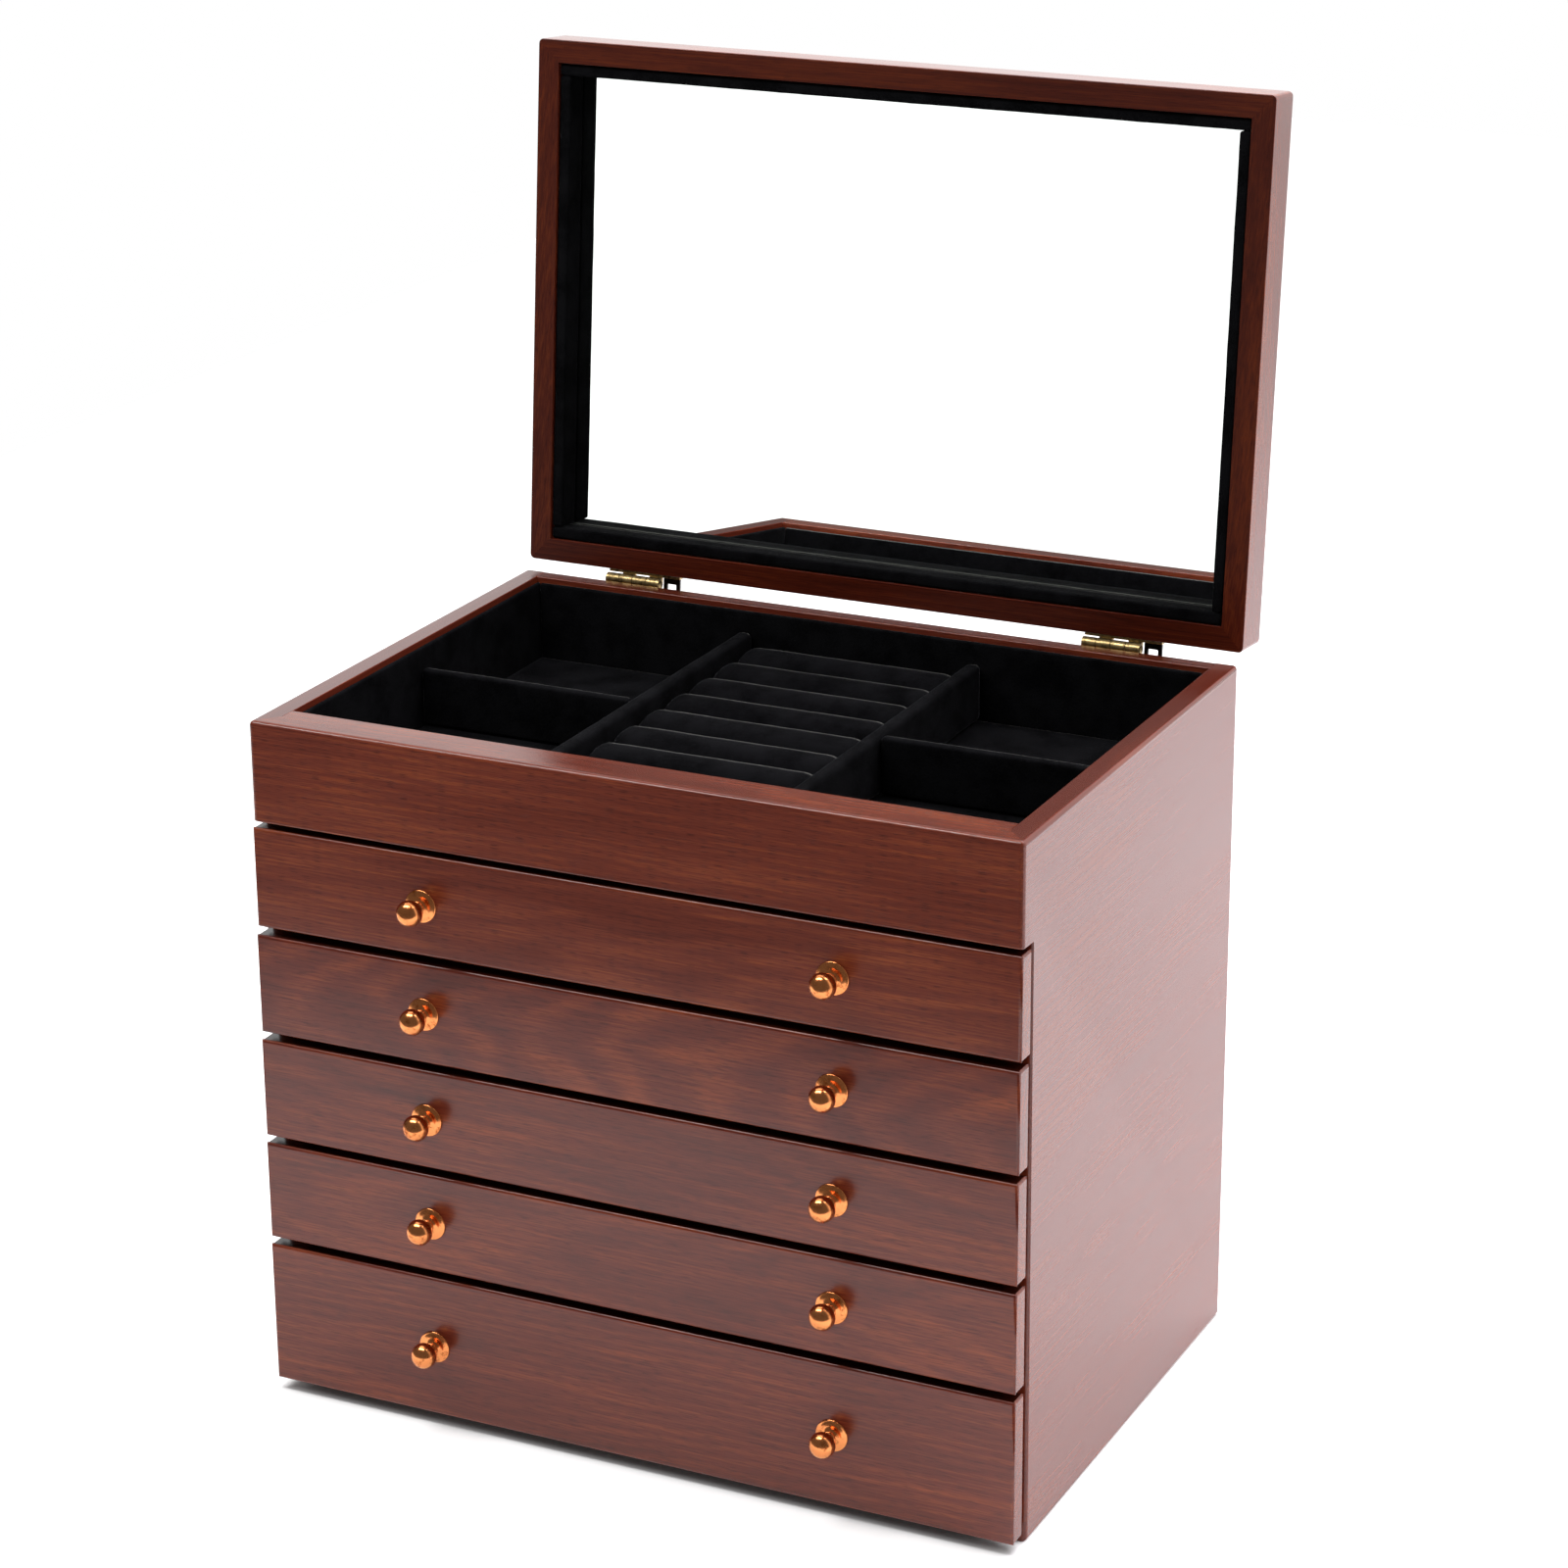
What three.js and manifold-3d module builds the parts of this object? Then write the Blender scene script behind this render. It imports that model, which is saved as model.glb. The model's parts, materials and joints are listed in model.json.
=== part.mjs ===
// Jewellery chest: five drawers under a lined tray and a hinged lid with a mirror in it.
// Millimetres, +Z up, X from left to right, Y from front to back.
// The origin is the middle of the underside, on the surface the chest stands on.
import * as THREE from "three";
import Module from "manifold-3d";
import { mergeVertices } from "three/addons/utils/BufferGeometryUtils.js";

const wasm = await Module();
wasm.setup();

// ---- driving dimensions ----
const WIDTH = 320;
const DEPTH = 218.4;
const HEIGHT = 283;
const HALF_WIDTH = WIDTH / 2;
const FRONT_Y = -DEPTH / 2;
const BACK_Y = DEPTH / 2;
const FIT = 0.1;

// carcass boards
const SIDE_THICKNESS = 9.5;
const BACK_THICKNESS = 7;
const BASE_THICKNESS = 5;
const BAND_THICKNESS = 10;
const BAND_HEIGHT = 40.8;
const FRONT_WALL_THICKNESS = 7.5;
const SHELF_THICKNESS = 5;
const TRAY_FLOOR_THICKNESS = 4.3;
const MITRE_PAST = 5;
const BAY_HALF_WIDTH = HALF_WIDTH - SIDE_THICKNESS;
const BAY_FRONT_Y = FRONT_Y + BAND_THICKNESS;
const BAY_BACK_Y = BACK_Y - BACK_THICKNESS;
const BAND_BOTTOM = HEIGHT - BAND_HEIGHT;
const TRAY_FLOOR_BOTTOM = BAND_BOTTOM - 1;
const TRAY_FLOOR_TOP = TRAY_FLOOR_BOTTOM + TRAY_FLOOR_THICKNESS;

// drawers, from the top one down: front height, and how far each stands open at rest
const DRAWER_HEIGHTS = [41, 41, 41, 41, 59.4];
const DRAWER_AJAR = [1.5, 2.6, 3.1, 3.4, 3.7];
const FIRST_FRONT_GAP = 2.2;
const FRONT_GAP = 2.9;
const FRONT_THICKNESS = 8.8;
const FRONT_EDGE_RADIUS = 1.2;
const CLOSED_GAP = 0.3;
const BOX_LENGTH = 200;
const BOX_SIDE_CLEARANCE = 0.8;
const BOX_BOTTOM_CLEARANCE = 0.6;
const BOX_TOP_CLEARANCE = 3;
const BOX_WALL = 6;
const BOX_BOTTOM = 3;
const DRAWER_LINING = 1.2;
const LINING_BELOW_RIM = 2;

// knobs: turned metal, a ball on a short collared neck above a round foot
const KNOB_X = 86;
const KNOB_FOOT_RADIUS = 6.6;
const KNOB_FOOT_EDGE = 0.9;
const KNOB_FOOT_HEIGHT = 1.9;
const KNOB_NECK_RADIUS = 2.5;
const KNOB_NECK_END = 3.2;
const KNOB_COLLAR_RADIUS = 3.3;
const KNOB_COLLAR_PLACE = 3.9;
const KNOB_BALL_RADIUS = 5.2;
const KNOB_BALL_HALF_LENGTH = 4.7;
const KNOB_BALL_CENTRE = 8.8;
const KNOB_STUD_RADIUS = 2;
const KNOB_STUD_LENGTH = 6;
const KNOB_SEGMENTS = 14;
const STUD_HOLE_RADIUS = 2.4;
const STUD_HOLE_DEPTH = 7;

// tray lining, dividers and ring roll pad
const TRAY_LINING = 2.2;
const TRAY_LINING_FLOOR = 3;
const TRAY_LINING_TOP = HEIGHT - 2;
const DIVIDER_TOP = HEIGHT - 10.5;
const LONG_DIVIDER_INNER_X = 48;
const LONG_DIVIDER_THICKNESS = 6.5;
const CROSS_DIVIDER_FRONT_Y = 0.5;
const CROSS_DIVIDER_THICKNESS = 4.5;
const ROLL_PITCH = 21.7;
const ROLL_CREST_Z = HEIGHT - 13.6;
const ROLL_DEPTH = 12;
const ROLL_ARC_STEPS = 8;

// lid, given as it lies when shut
const LID_CLEARANCE = 0.3;
const LID_THICKNESS = 21.1;
const LID_RAIL_WIDTH = 9.4;
const LID_PANEL_THICKNESS = 5;
const LID_GAP = 0.3;
const MIRROR_DEPTH = 13;
const MIRROR_THICKNESS = 2.8;
const LID_LINING_RECESS = 1;
const LID_LINING_WIDTH = 4.9;
const LID_OPEN_ANGLE = THREE.MathUtils.degToRad(95.2);

// hinges
const HINGE_AXIS_Y = BACK_Y + 3.9;
const HINGE_AXIS_Z = HEIGHT;
const HINGE_LEFT_ENDS = { left: -122.4, right: 92.7 };
const KNUCKLE_LENGTH = 6.25;
const KNUCKLE_COUNT = 4;
const KNUCKLE_GAP = 0.3;
const BARREL_RADIUS = 2.5;
const PIN_HOLE_RADIUS = 1.15;
const PIN_RADIUS = 0.9;
const PIN_HEAD_RADIUS = 1.7;
const PIN_HEAD_LENGTH = 0.4;
const LEAF_THICKNESS = 1.2;
const LEAF_HEIGHT = 15;
const STOP_LENGTH = 8.2;
const STOP_POST = 1.6;
const STOP_PAST_AXIS = 2.2;
const STOP_ROOT = 2.2;
const ROUND_SEGMENTS = 16;

// how close two corners of a mesh are when they count as one
const WELD_DISTANCE = 1e-4;

// ---- materials ----
const finish = (color, roughness, metalness) =>
  new THREE.MeshStandardMaterial({ color, roughness, metalness });
const mahogany = () => finish(0x6b2f24, 0.32, 0);
const innerWood = () => finish(0x4a2219, 0.55, 0);
const velvet = () => finish(0x121214, 0.95, 0);
const copper = () => finish(0x9c6247, 0.38, 1);
const brass = () => finish(0xb08a48, 0.4, 1);
const silvered = () => finish(0xeef2f4, 0.04, 1);

// ---- geometry helpers ----
function block(x0, y0, z0, x1, y1, z1) {
  const geometry = new THREE.BoxGeometry(x1 - x0, y1 - y0, z1 - z0);
  geometry.translate((x0 + x1) / 2, (y0 + y1) / 2, (z0 + z1) / 2);
  return geometry;
}

// a plan outline in X and Y, raised from z0 to z1
function prism(points, z0, z1) {
  const shape = new THREE.Shape(points.map(([x, y]) => new THREE.Vector2(x, y)));
  const geometry = new THREE.ExtrudeGeometry(shape, { depth: z1 - z0, bevelEnabled: false });
  geometry.translate(0, 0, z0);
  return geometry;
}

// an outline in Y and Z, run from x0 to x1
function sideProfile(points, x0, x1) {
  const shape = new THREE.Shape(points.map(([y, z]) => new THREE.Vector2(y, z)));
  const geometry = new THREE.ExtrudeGeometry(shape, { depth: x1 - x0, bevelEnabled: false });
  geometry.applyMatrix4(new THREE.Matrix4().set(0, 0, 1, x0, 1, 0, 0, 0, 0, 1, 0, 0, 0, 0, 0, 1));
  return geometry;
}

// a cylinder along X about the line (y, z)
function rodAlongX(radius, x0, x1, y, z, segments = ROUND_SEGMENTS) {
  const geometry = new THREE.CylinderGeometry(radius, radius, x1 - x0, segments);
  geometry.rotateZ(Math.PI / 2);
  geometry.translate((x0 + x1) / 2, y, z);
  return geometry;
}

// a board standing in the X-Z plane with rounded front and back edges
function roundedBoard(x0, y0, z0, x1, y1, z1, radius) {
  const shape = new THREE.Shape();
  shape.moveTo(x0 + radius, z0 + radius);
  shape.lineTo(x1 - radius, z0 + radius);
  shape.lineTo(x1 - radius, z1 - radius);
  shape.lineTo(x0 + radius, z1 - radius);
  shape.closePath();
  const depth = y1 - y0 - 2 * radius;
  const geometry = new THREE.ExtrudeGeometry(shape, {
    depth, bevelEnabled: true, bevelThickness: radius, bevelSize: radius, bevelSegments: 2,
  });
  geometry.rotateX(Math.PI / 2);
  geometry.translate(0, y1 - radius, 0);
  return geometry;
}

function solid(geometry) {
  const bare = geometry.index ? geometry.toNonIndexed() : geometry;
  for (const name of Object.keys(bare.attributes)) {
    if (name !== "position") bare.deleteAttribute(name);
  }
  const merged = mergeVertices(bare, WELD_DISTANCE);
  return new wasm.Manifold(new wasm.Mesh({
    numProp: 3,
    vertProperties: Float32Array.from(merged.attributes.position.array),
    triVerts: Uint32Array.from(merged.index.array),
  }));
}

function geometryOf(manifold) {
  const mesh = manifold.getMesh();
  const geometry = new THREE.BufferGeometry();
  geometry.setAttribute("position", new THREE.BufferAttribute(mesh.vertProperties, 3));
  geometry.setIndex(new THREE.BufferAttribute(mesh.triVerts, 1));
  geometry.computeVertexNormals();
  return geometry;
}

function joined(parts, cuts = []) {
  let result = solid(parts[0]);
  for (const part of parts.slice(1)) result = result.add(solid(part));
  for (const cut of cuts) result = result.subtract(solid(cut));
  return geometryOf(result);
}

function addPiece(group, name, geometry, material) {
  const mesh = new THREE.Mesh(geometry, material);
  mesh.name = name;
  group.add(mesh);
}

// an open-topped box: outer corners, wall and floor thickness
function openBox(low, high, wall, floor) {
  const outer = block(...low, ...high);
  const inner = block(low[0] + wall, low[1] + wall, low[2] + floor,
    high[0] - wall, high[1] - wall, high[2] + 1);
  return joined([outer], [inner]);
}

// ---- carcass ----
function sidePanel(side) {
  const outline = [
    [BAY_FRONT_Y, 0],
    [BACK_Y, 0],
    [BACK_Y, HEIGHT],
    [FRONT_Y, HEIGHT],
    [FRONT_Y, BAND_BOTTOM],
    [BAY_FRONT_Y, BAND_BOTTOM],
  ];
  const panel = sideProfile(outline, Math.min(side * BAY_HALF_WIDTH, side * HALF_WIDTH),
    Math.max(side * BAY_HALF_WIDTH, side * HALF_WIDTH));
  const slope = SIDE_THICKNESS / BAND_THICKNESS;
  const mitre = [
    [side * (HALF_WIDTH + MITRE_PAST * slope), FRONT_Y - MITRE_PAST],
    [side * (BAY_HALF_WIDTH - FIT), BAY_FRONT_Y + FIT / slope],
    [side * (BAY_HALF_WIDTH - MITRE_PAST), FRONT_Y - MITRE_PAST],
  ];
  return joined([panel], [prism(mitre, BAND_BOTTOM - 1, HEIGHT + 1)]);
}

function frontBand() {
  const outer = HALF_WIDTH - FIT;
  const inner = BAY_HALF_WIDTH - FIT;
  const plan = [[-outer, FRONT_Y], [outer, FRONT_Y], [inner, BAY_FRONT_Y], [-inner, BAY_FRONT_Y]];
  return prism(plan, BAND_BOTTOM, HEIGHT);
}

function addCarcass(group) {
  addPiece(group, "side_panel_left", sidePanel(-1), mahogany());
  addPiece(group, "side_panel_right", sidePanel(1), mahogany());
  addPiece(group, "back_panel",
    block(-BAY_HALF_WIDTH, BAY_BACK_Y, 0, BAY_HALF_WIDTH, BACK_Y, HEIGHT), mahogany());
  addPiece(group, "base_board",
    block(-BAY_HALF_WIDTH, BAY_FRONT_Y, 0, BAY_HALF_WIDTH, BAY_BACK_Y, BASE_THICKNESS), innerWood());
  addPiece(group, "front_band", frontBand(), mahogany());
  addPiece(group, "tray_front_wall",
    block(-BAY_HALF_WIDTH, BAY_FRONT_Y, TRAY_FLOOR_TOP,
      BAY_HALF_WIDTH, BAY_FRONT_Y + FRONT_WALL_THICKNESS, HEIGHT), mahogany());
  addPiece(group, "tray_floor",
    block(-BAY_HALF_WIDTH, BAY_FRONT_Y, TRAY_FLOOR_BOTTOM,
      BAY_HALF_WIDTH, BAY_BACK_Y, TRAY_FLOOR_TOP), innerWood());
}

// ---- drawers ----
// heights of each front, and of the bay behind it
function drawerLayout() {
  const drawers = [];
  let top = BAND_BOTTOM - FIRST_FRONT_GAP;
  let bayTop = TRAY_FLOOR_BOTTOM;
  DRAWER_HEIGHTS.forEach((height, index) => {
    const bottom = top - height;
    const lowest = index === DRAWER_HEIGHTS.length - 1;
    const shelfTop = bottom - FRONT_GAP / 2 + SHELF_THICKNESS / 2;
    drawers.push({
      number: index + 1,
      bottom,
      top,
      bayBottom: lowest ? BASE_THICKNESS : shelfTop,
      bayTop,
      backOfFront: BAY_FRONT_Y - CLOSED_GAP - DRAWER_AJAR[index],
    });
    top = bottom - FRONT_GAP;
    bayTop = shelfTop - SHELF_THICKNESS;
  });
  return drawers;
}

function addShelves(group, drawers) {
  for (const drawer of drawers.slice(0, -1)) {
    addPiece(group, `shelf_${drawer.number}`,
      block(-BAY_HALF_WIDTH, BAY_FRONT_Y, drawer.bayBottom - SHELF_THICKNESS, BAY_HALF_WIDTH, BAY_BACK_Y,
        drawer.bayBottom), innerWood());
  }
}

// a knob with its foot on the plane y = 0, its ball towards -Y and its stud towards +Y
function knobGeometry() {
  const profile = [
    [0, -KNOB_STUD_LENGTH],
    [KNOB_STUD_RADIUS, -KNOB_STUD_LENGTH],
    [KNOB_STUD_RADIUS, 0],
    [KNOB_FOOT_RADIUS, 0],
    [KNOB_FOOT_RADIUS, KNOB_FOOT_EDGE],
    [KNOB_NECK_RADIUS, KNOB_FOOT_HEIGHT],
    [KNOB_NECK_RADIUS, KNOB_NECK_END],
    [KNOB_COLLAR_RADIUS, KNOB_COLLAR_PLACE],
  ];
  const ballSteps = 5;
  const firstAngle = Math.asin(KNOB_NECK_RADIUS / KNOB_BALL_RADIUS);
  for (let step = 0; step <= ballSteps; step += 1) {
    const angle = THREE.MathUtils.lerp(firstAngle, Math.PI, step / ballSteps);
    const radius = step === ballSteps ? 0 : KNOB_BALL_RADIUS * Math.sin(angle);
    profile.push([radius, KNOB_BALL_CENTRE - KNOB_BALL_HALF_LENGTH * Math.cos(angle)]);
  }
  const geometry = new THREE.LatheGeometry(profile.map(([r, l]) => new THREE.Vector2(r, l)), KNOB_SEGMENTS);
  geometry.rotateX(Math.PI);
  return geometry;
}

function addDrawer(group, drawer) {
  const { number, bottom, top, backOfFront, bayBottom, bayTop } = drawer;
  const frontY = backOfFront - FRONT_THICKNESS;
  const middle = (bottom + top) / 2;
  const board = roundedBoard(-HALF_WIDTH, frontY, bottom, HALF_WIDTH, backOfFront, top, FRONT_EDGE_RADIUS);
  const studHoles = [-KNOB_X, KNOB_X].map((x) => {
    const hole = new THREE.CylinderGeometry(STUD_HOLE_RADIUS, STUD_HOLE_RADIUS,
      STUD_HOLE_DEPTH + 1, KNOB_SEGMENTS);
    hole.translate(x, frontY + (STUD_HOLE_DEPTH - 1) / 2, middle);
    return hole;
  });
  addPiece(group, `drawer_${number}_front`, joined([board], studHoles), mahogany());

  const halfWidth = BAY_HALF_WIDTH - BOX_SIDE_CLEARANCE;
  const low = [-halfWidth, backOfFront, bayBottom + BOX_BOTTOM_CLEARANCE];
  const high = [halfWidth, backOfFront + BOX_LENGTH, bayTop - BOX_TOP_CLEARANCE];
  addPiece(group, `drawer_${number}_box`, openBox(low, high, BOX_WALL, BOX_BOTTOM), innerWood());

  const inset = BOX_WALL + FIT;
  const liningLow = [low[0] + inset, low[1] + inset, low[2] + BOX_BOTTOM + FIT];
  const liningHigh = [high[0] - inset, high[1] - inset, high[2] - LINING_BELOW_RIM];
  addPiece(group, `drawer_${number}_lining`,
    openBox(liningLow, liningHigh, DRAWER_LINING, DRAWER_LINING), velvet());

  for (const [side, x] of [["left", -KNOB_X], ["right", KNOB_X]]) {
    const knob = knobGeometry();
    knob.translate(x, frontY, middle);
    addPiece(group, `drawer_${number}_knob_${side}`, knob, copper());
  }
}

// ---- tray ----
function addTray(group) {
  const low = [-BAY_HALF_WIDTH + FIT, BAY_FRONT_Y + FRONT_WALL_THICKNESS + FIT, TRAY_FLOOR_TOP + FIT];
  const high = [BAY_HALF_WIDTH - FIT, BAY_BACK_Y - FIT, TRAY_LINING_TOP];
  addPiece(group, "tray_lining", openBox(low, high, TRAY_LINING, TRAY_LINING_FLOOR), velvet());

  const floorZ = low[2] + TRAY_LINING_FLOOR + FIT;
  const y0 = low[1] + TRAY_LINING + FIT;
  const y1 = high[1] - TRAY_LINING - FIT;
  const wallX = high[0] - TRAY_LINING - FIT;
  const outerX = LONG_DIVIDER_INNER_X + LONG_DIVIDER_THICKNESS;
  addPiece(group, "long_divider_left",
    block(-outerX, y0, floorZ, -LONG_DIVIDER_INNER_X, y1, DIVIDER_TOP), velvet());
  addPiece(group, "long_divider_right",
    block(LONG_DIVIDER_INNER_X, y0, floorZ, outerX, y1, DIVIDER_TOP), velvet());
  const crossBack = CROSS_DIVIDER_FRONT_Y + CROSS_DIVIDER_THICKNESS;
  addPiece(group, "cross_divider_left",
    block(-wallX, CROSS_DIVIDER_FRONT_Y, floorZ, -outerX - FIT, crossBack, DIVIDER_TOP), velvet());
  addPiece(group, "cross_divider_right",
    block(outerX + FIT, CROSS_DIVIDER_FRONT_Y, floorZ, wallX, crossBack, DIVIDER_TOP), velvet());
  addPiece(group, "ring_roll_pad", ringRollPad(y0, y1, floorZ), velvet());
}

// rolls side by side across the tray, cut from a long pad, so that the one at the front is part of a roll
function ringRollPad(y0, y1, floorZ) {
  const profile = [[y1, floorZ]];
  const half = ROLL_PITCH / 2;
  let back = y1;
  while (back > y0 + 1) {
    for (let step = 0; step <= ROLL_ARC_STEPS; step += 1) {
      const along = ROLL_PITCH * step / ROLL_ARC_STEPS;
      const y = back - along;
      if (y < y0) break;
      const across = (along - half) / half;
      const rise = Math.pow(Math.max(0, 1 - across * across), 0.5);
      const z = ROLL_CREST_Z - ROLL_DEPTH * (1 - rise);
      if (step > 0 || back === y1) profile.push([y, z]);
    }
    back -= ROLL_PITCH;
  }
  const last = profile[profile.length - 1];
  profile.push([y0, last[1]]);
  profile.push([y0, floorZ]);
  const inner = LONG_DIVIDER_INNER_X - FIT;
  return sideProfile(profile, -inner, inner);
}

// ---- lid, built as it lies when shut and turned open by its group ----
function addLid(group) {
  const rim = HEIGHT + LID_CLEARANCE;
  const top = rim + LID_THICKNESS;
  const innerX = HALF_WIDTH - LID_RAIL_WIDTH;
  const innerY = BACK_Y - LID_RAIL_WIDTH;
  const mitreGap = LID_GAP * Math.SQRT2;
  for (const [name, side] of [["front", -1], ["back", 1]]) {
    const plan = [
      [-HALF_WIDTH + mitreGap, side * BACK_Y],
      [HALF_WIDTH - mitreGap, side * BACK_Y],
      [innerX - mitreGap, side * innerY],
      [-innerX + mitreGap, side * innerY],
    ];
    addPiece(group, `lid_rail_${name}`, prism(plan, rim, top), mahogany());
  }
  for (const [name, side] of [["left", -1], ["right", 1]]) {
    const plan = [
      [side * HALF_WIDTH, -BACK_Y],
      [side * HALF_WIDTH, BACK_Y],
      [side * innerX, innerY],
      [side * innerX, -innerY],
    ];
    addPiece(group, `lid_rail_${name}`, prism(plan, rim, top), mahogany());
  }
  const x = innerX - LID_GAP;
  const y = innerY - LID_GAP;
  addPiece(group, "lid_panel", block(-x, -y, top - LID_PANEL_THICKNESS, x, y, top), mahogany());
  const mirror = rim + MIRROR_DEPTH;
  addPiece(group, "mirror", block(-x, -y, mirror, x, y, mirror + MIRROR_THICKNESS), silvered());
  const windowX = innerX - LID_GAP - LID_LINING_WIDTH;
  const windowY = innerY - LID_GAP - LID_LINING_WIDTH;
  const liningLow = rim + LID_LINING_RECESS;
  const liningHigh = mirror - LID_GAP;
  addPiece(group, "lid_lining",
    joined([block(-x, -y, liningLow, x, y, liningHigh)],
      [block(-windowX, -windowY, liningLow - 1, windowX, windowY, liningHigh + 1)]), velvet());
}

// ---- hinges ----
// Both leaves are flat plates on the back faces. Each bends out to its own two knuckles.
// up is 1 for the leaf on the lid and -1 for the leaf on the carcass.
function hingeLeaf(x0, up) {
  const sheetFar = HINGE_AXIS_Z + up * BARREL_RADIUS;
  const sheetNear = sheetFar - up * LEAF_THICKNESS;
  const plateEnd = sheetNear + up * LEAF_HEIGHT;
  const barrelEnd = x0 + KNUCKLE_LENGTH * KNUCKLE_COUNT;
  const plateRight = up > 0 ? barrelEnd + STOP_LENGTH : barrelEnd;
  const span = (a, b) => [Math.min(a, b), Math.max(a, b)];
  const [plateLow, plateHigh] = span(sheetNear, plateEnd);
  const [sheetLow, sheetHigh] = span(sheetNear, sheetFar);
  const parts = [block(x0, BACK_Y + FIT, plateLow, plateRight, BACK_Y + LEAF_THICKNESS, plateHigh)];
  const cuts = [];
  for (let index = up > 0 ? 1 : 0; index < KNUCKLE_COUNT; index += 2) {
    const start = x0 + index * KNUCKLE_LENGTH + KNUCKLE_GAP / 2;
    const end = start + KNUCKLE_LENGTH - KNUCKLE_GAP;
    parts.push(block(start, BACK_Y + FIT, sheetLow, end, HINGE_AXIS_Y, sheetHigh));
    parts.push(rodAlongX(BARREL_RADIUS, start, end, HINGE_AXIS_Y, HINGE_AXIS_Z));
    cuts.push(rodAlongX(PIN_HOLE_RADIUS, start - 1, end + 1, HINGE_AXIS_Y, HINGE_AXIS_Z));
  }
  if (up > 0) {
    const stopLeft = barrelEnd + PIN_HEAD_LENGTH + KNUCKLE_GAP;
    const stopEndY = HINGE_AXIS_Y + STOP_PAST_AXIS;
    parts.push(block(stopLeft, BACK_Y + FIT, sheetLow, plateRight, stopEndY, sheetHigh));
    cuts.push(block(stopLeft + STOP_POST, BACK_Y + LEAF_THICKNESS + STOP_ROOT, sheetLow - 1,
      plateRight - STOP_POST, stopEndY + 1, sheetHigh + 1));
  }
  return joined(parts, cuts);
}

function hingePin(x0) {
  const end = x0 + KNUCKLE_LENGTH * KNUCKLE_COUNT;
  const head = PIN_HEAD_LENGTH;
  return joined([
    rodAlongX(PIN_RADIUS, x0 - head / 2, end + head / 2, HINGE_AXIS_Y, HINGE_AXIS_Z),
    rodAlongX(PIN_HEAD_RADIUS, x0 - head, x0, HINGE_AXIS_Y, HINGE_AXIS_Z),
    rodAlongX(PIN_HEAD_RADIUS, end, end + head, HINGE_AXIS_Y, HINGE_AXIS_Z),
  ]);
}

function addHinges(carcassGroup, lidGroup) {
  for (const [side, x0] of Object.entries(HINGE_LEFT_ENDS)) {
    addPiece(carcassGroup, `hinge_leaf_carcass_${side}`, hingeLeaf(x0, -1), brass());
    addPiece(lidGroup, `hinge_leaf_lid_${side}`, hingeLeaf(x0, 1), brass());
    addPiece(carcassGroup, `hinge_pin_${side}`, hingePin(x0), brass());
  }
}

// ---- assembly ----
const group = new THREE.Group();
const carcassGroup = new THREE.Group();
const lidPivot = new THREE.Group();
const lidGroup = new THREE.Group();
lidPivot.position.set(0, HINGE_AXIS_Y, HINGE_AXIS_Z);
lidPivot.rotation.x = -LID_OPEN_ANGLE;
lidGroup.position.set(0, -HINGE_AXIS_Y, -HINGE_AXIS_Z);
lidPivot.add(lidGroup);
group.add(carcassGroup);
group.add(lidPivot);

const drawers = drawerLayout();
addCarcass(carcassGroup);
addShelves(carcassGroup, drawers);
addTray(carcassGroup);
for (const drawer of drawers) addDrawer(carcassGroup, drawer);
addLid(lidGroup);
addHinges(carcassGroup, lidGroup);

export default group;
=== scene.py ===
"""A wooden jewellery chest: five drawers, a velvet tray with ring rolls, and a hinged lid with a mirror.

Every piece stands where its part in the frame stands, in metres, with +Z up and the front towards -Y.
"""
import json
import math

import bmesh
import bpy
from mathutils import Matrix, Vector, noise


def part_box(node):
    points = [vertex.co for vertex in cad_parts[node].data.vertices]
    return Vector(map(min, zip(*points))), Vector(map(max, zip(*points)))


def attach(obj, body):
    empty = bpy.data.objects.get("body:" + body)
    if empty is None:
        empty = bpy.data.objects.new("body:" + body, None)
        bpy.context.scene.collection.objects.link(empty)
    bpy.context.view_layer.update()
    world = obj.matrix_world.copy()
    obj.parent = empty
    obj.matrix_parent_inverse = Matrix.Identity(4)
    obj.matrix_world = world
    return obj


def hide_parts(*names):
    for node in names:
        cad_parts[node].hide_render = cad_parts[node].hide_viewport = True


bl_info = {
    "name": "Jewellery chest",
    "version": (1, 0, 0),
    "blender": (4, 5, 0),
    "location": "3D View > Sidebar > Chest",
    "description": "Builds a jewellery chest with drawers, velvet tray, ring rolls and mirrored lid",
    "category": "Add Mesh",
}

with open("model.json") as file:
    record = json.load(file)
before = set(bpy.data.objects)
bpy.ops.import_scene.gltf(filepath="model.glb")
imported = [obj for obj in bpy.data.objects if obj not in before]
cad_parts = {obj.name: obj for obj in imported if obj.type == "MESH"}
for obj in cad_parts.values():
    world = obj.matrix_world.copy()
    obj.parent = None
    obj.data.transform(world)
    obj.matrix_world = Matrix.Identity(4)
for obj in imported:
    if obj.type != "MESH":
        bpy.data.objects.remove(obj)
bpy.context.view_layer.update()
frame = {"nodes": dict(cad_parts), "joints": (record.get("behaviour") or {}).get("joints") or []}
MM = 0.001

DRAWERS = range(1, 6)
SIDES = {"left": -1, "right": 1}
LID_JOINT = next(joint for joint in frame["joints"] if joint["name"] == "lid_hinge")
LID_AXIS = Vector(LID_JOINT["pos_m"])
LID_OPEN = math.radians(LID_JOINT["range_deg"][1])


# ---- colours ----
def linear(code):
    """A hex sRGB colour as linear red, green and blue."""
    values = [int(code[i:i + 2], 16) / 255 for i in (1, 3, 5)]
    return tuple(v / 12.92 if v <= 0.04045 else ((v + 0.055) / 1.055) ** 2.4 for v in values)


# ---- what a user would change ----
def colour_setting(name, description, code):
    return bpy.props.FloatVectorProperty(
        name=name, description=description, default=linear(code), subtype="COLOR", min=0, max=1)


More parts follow.
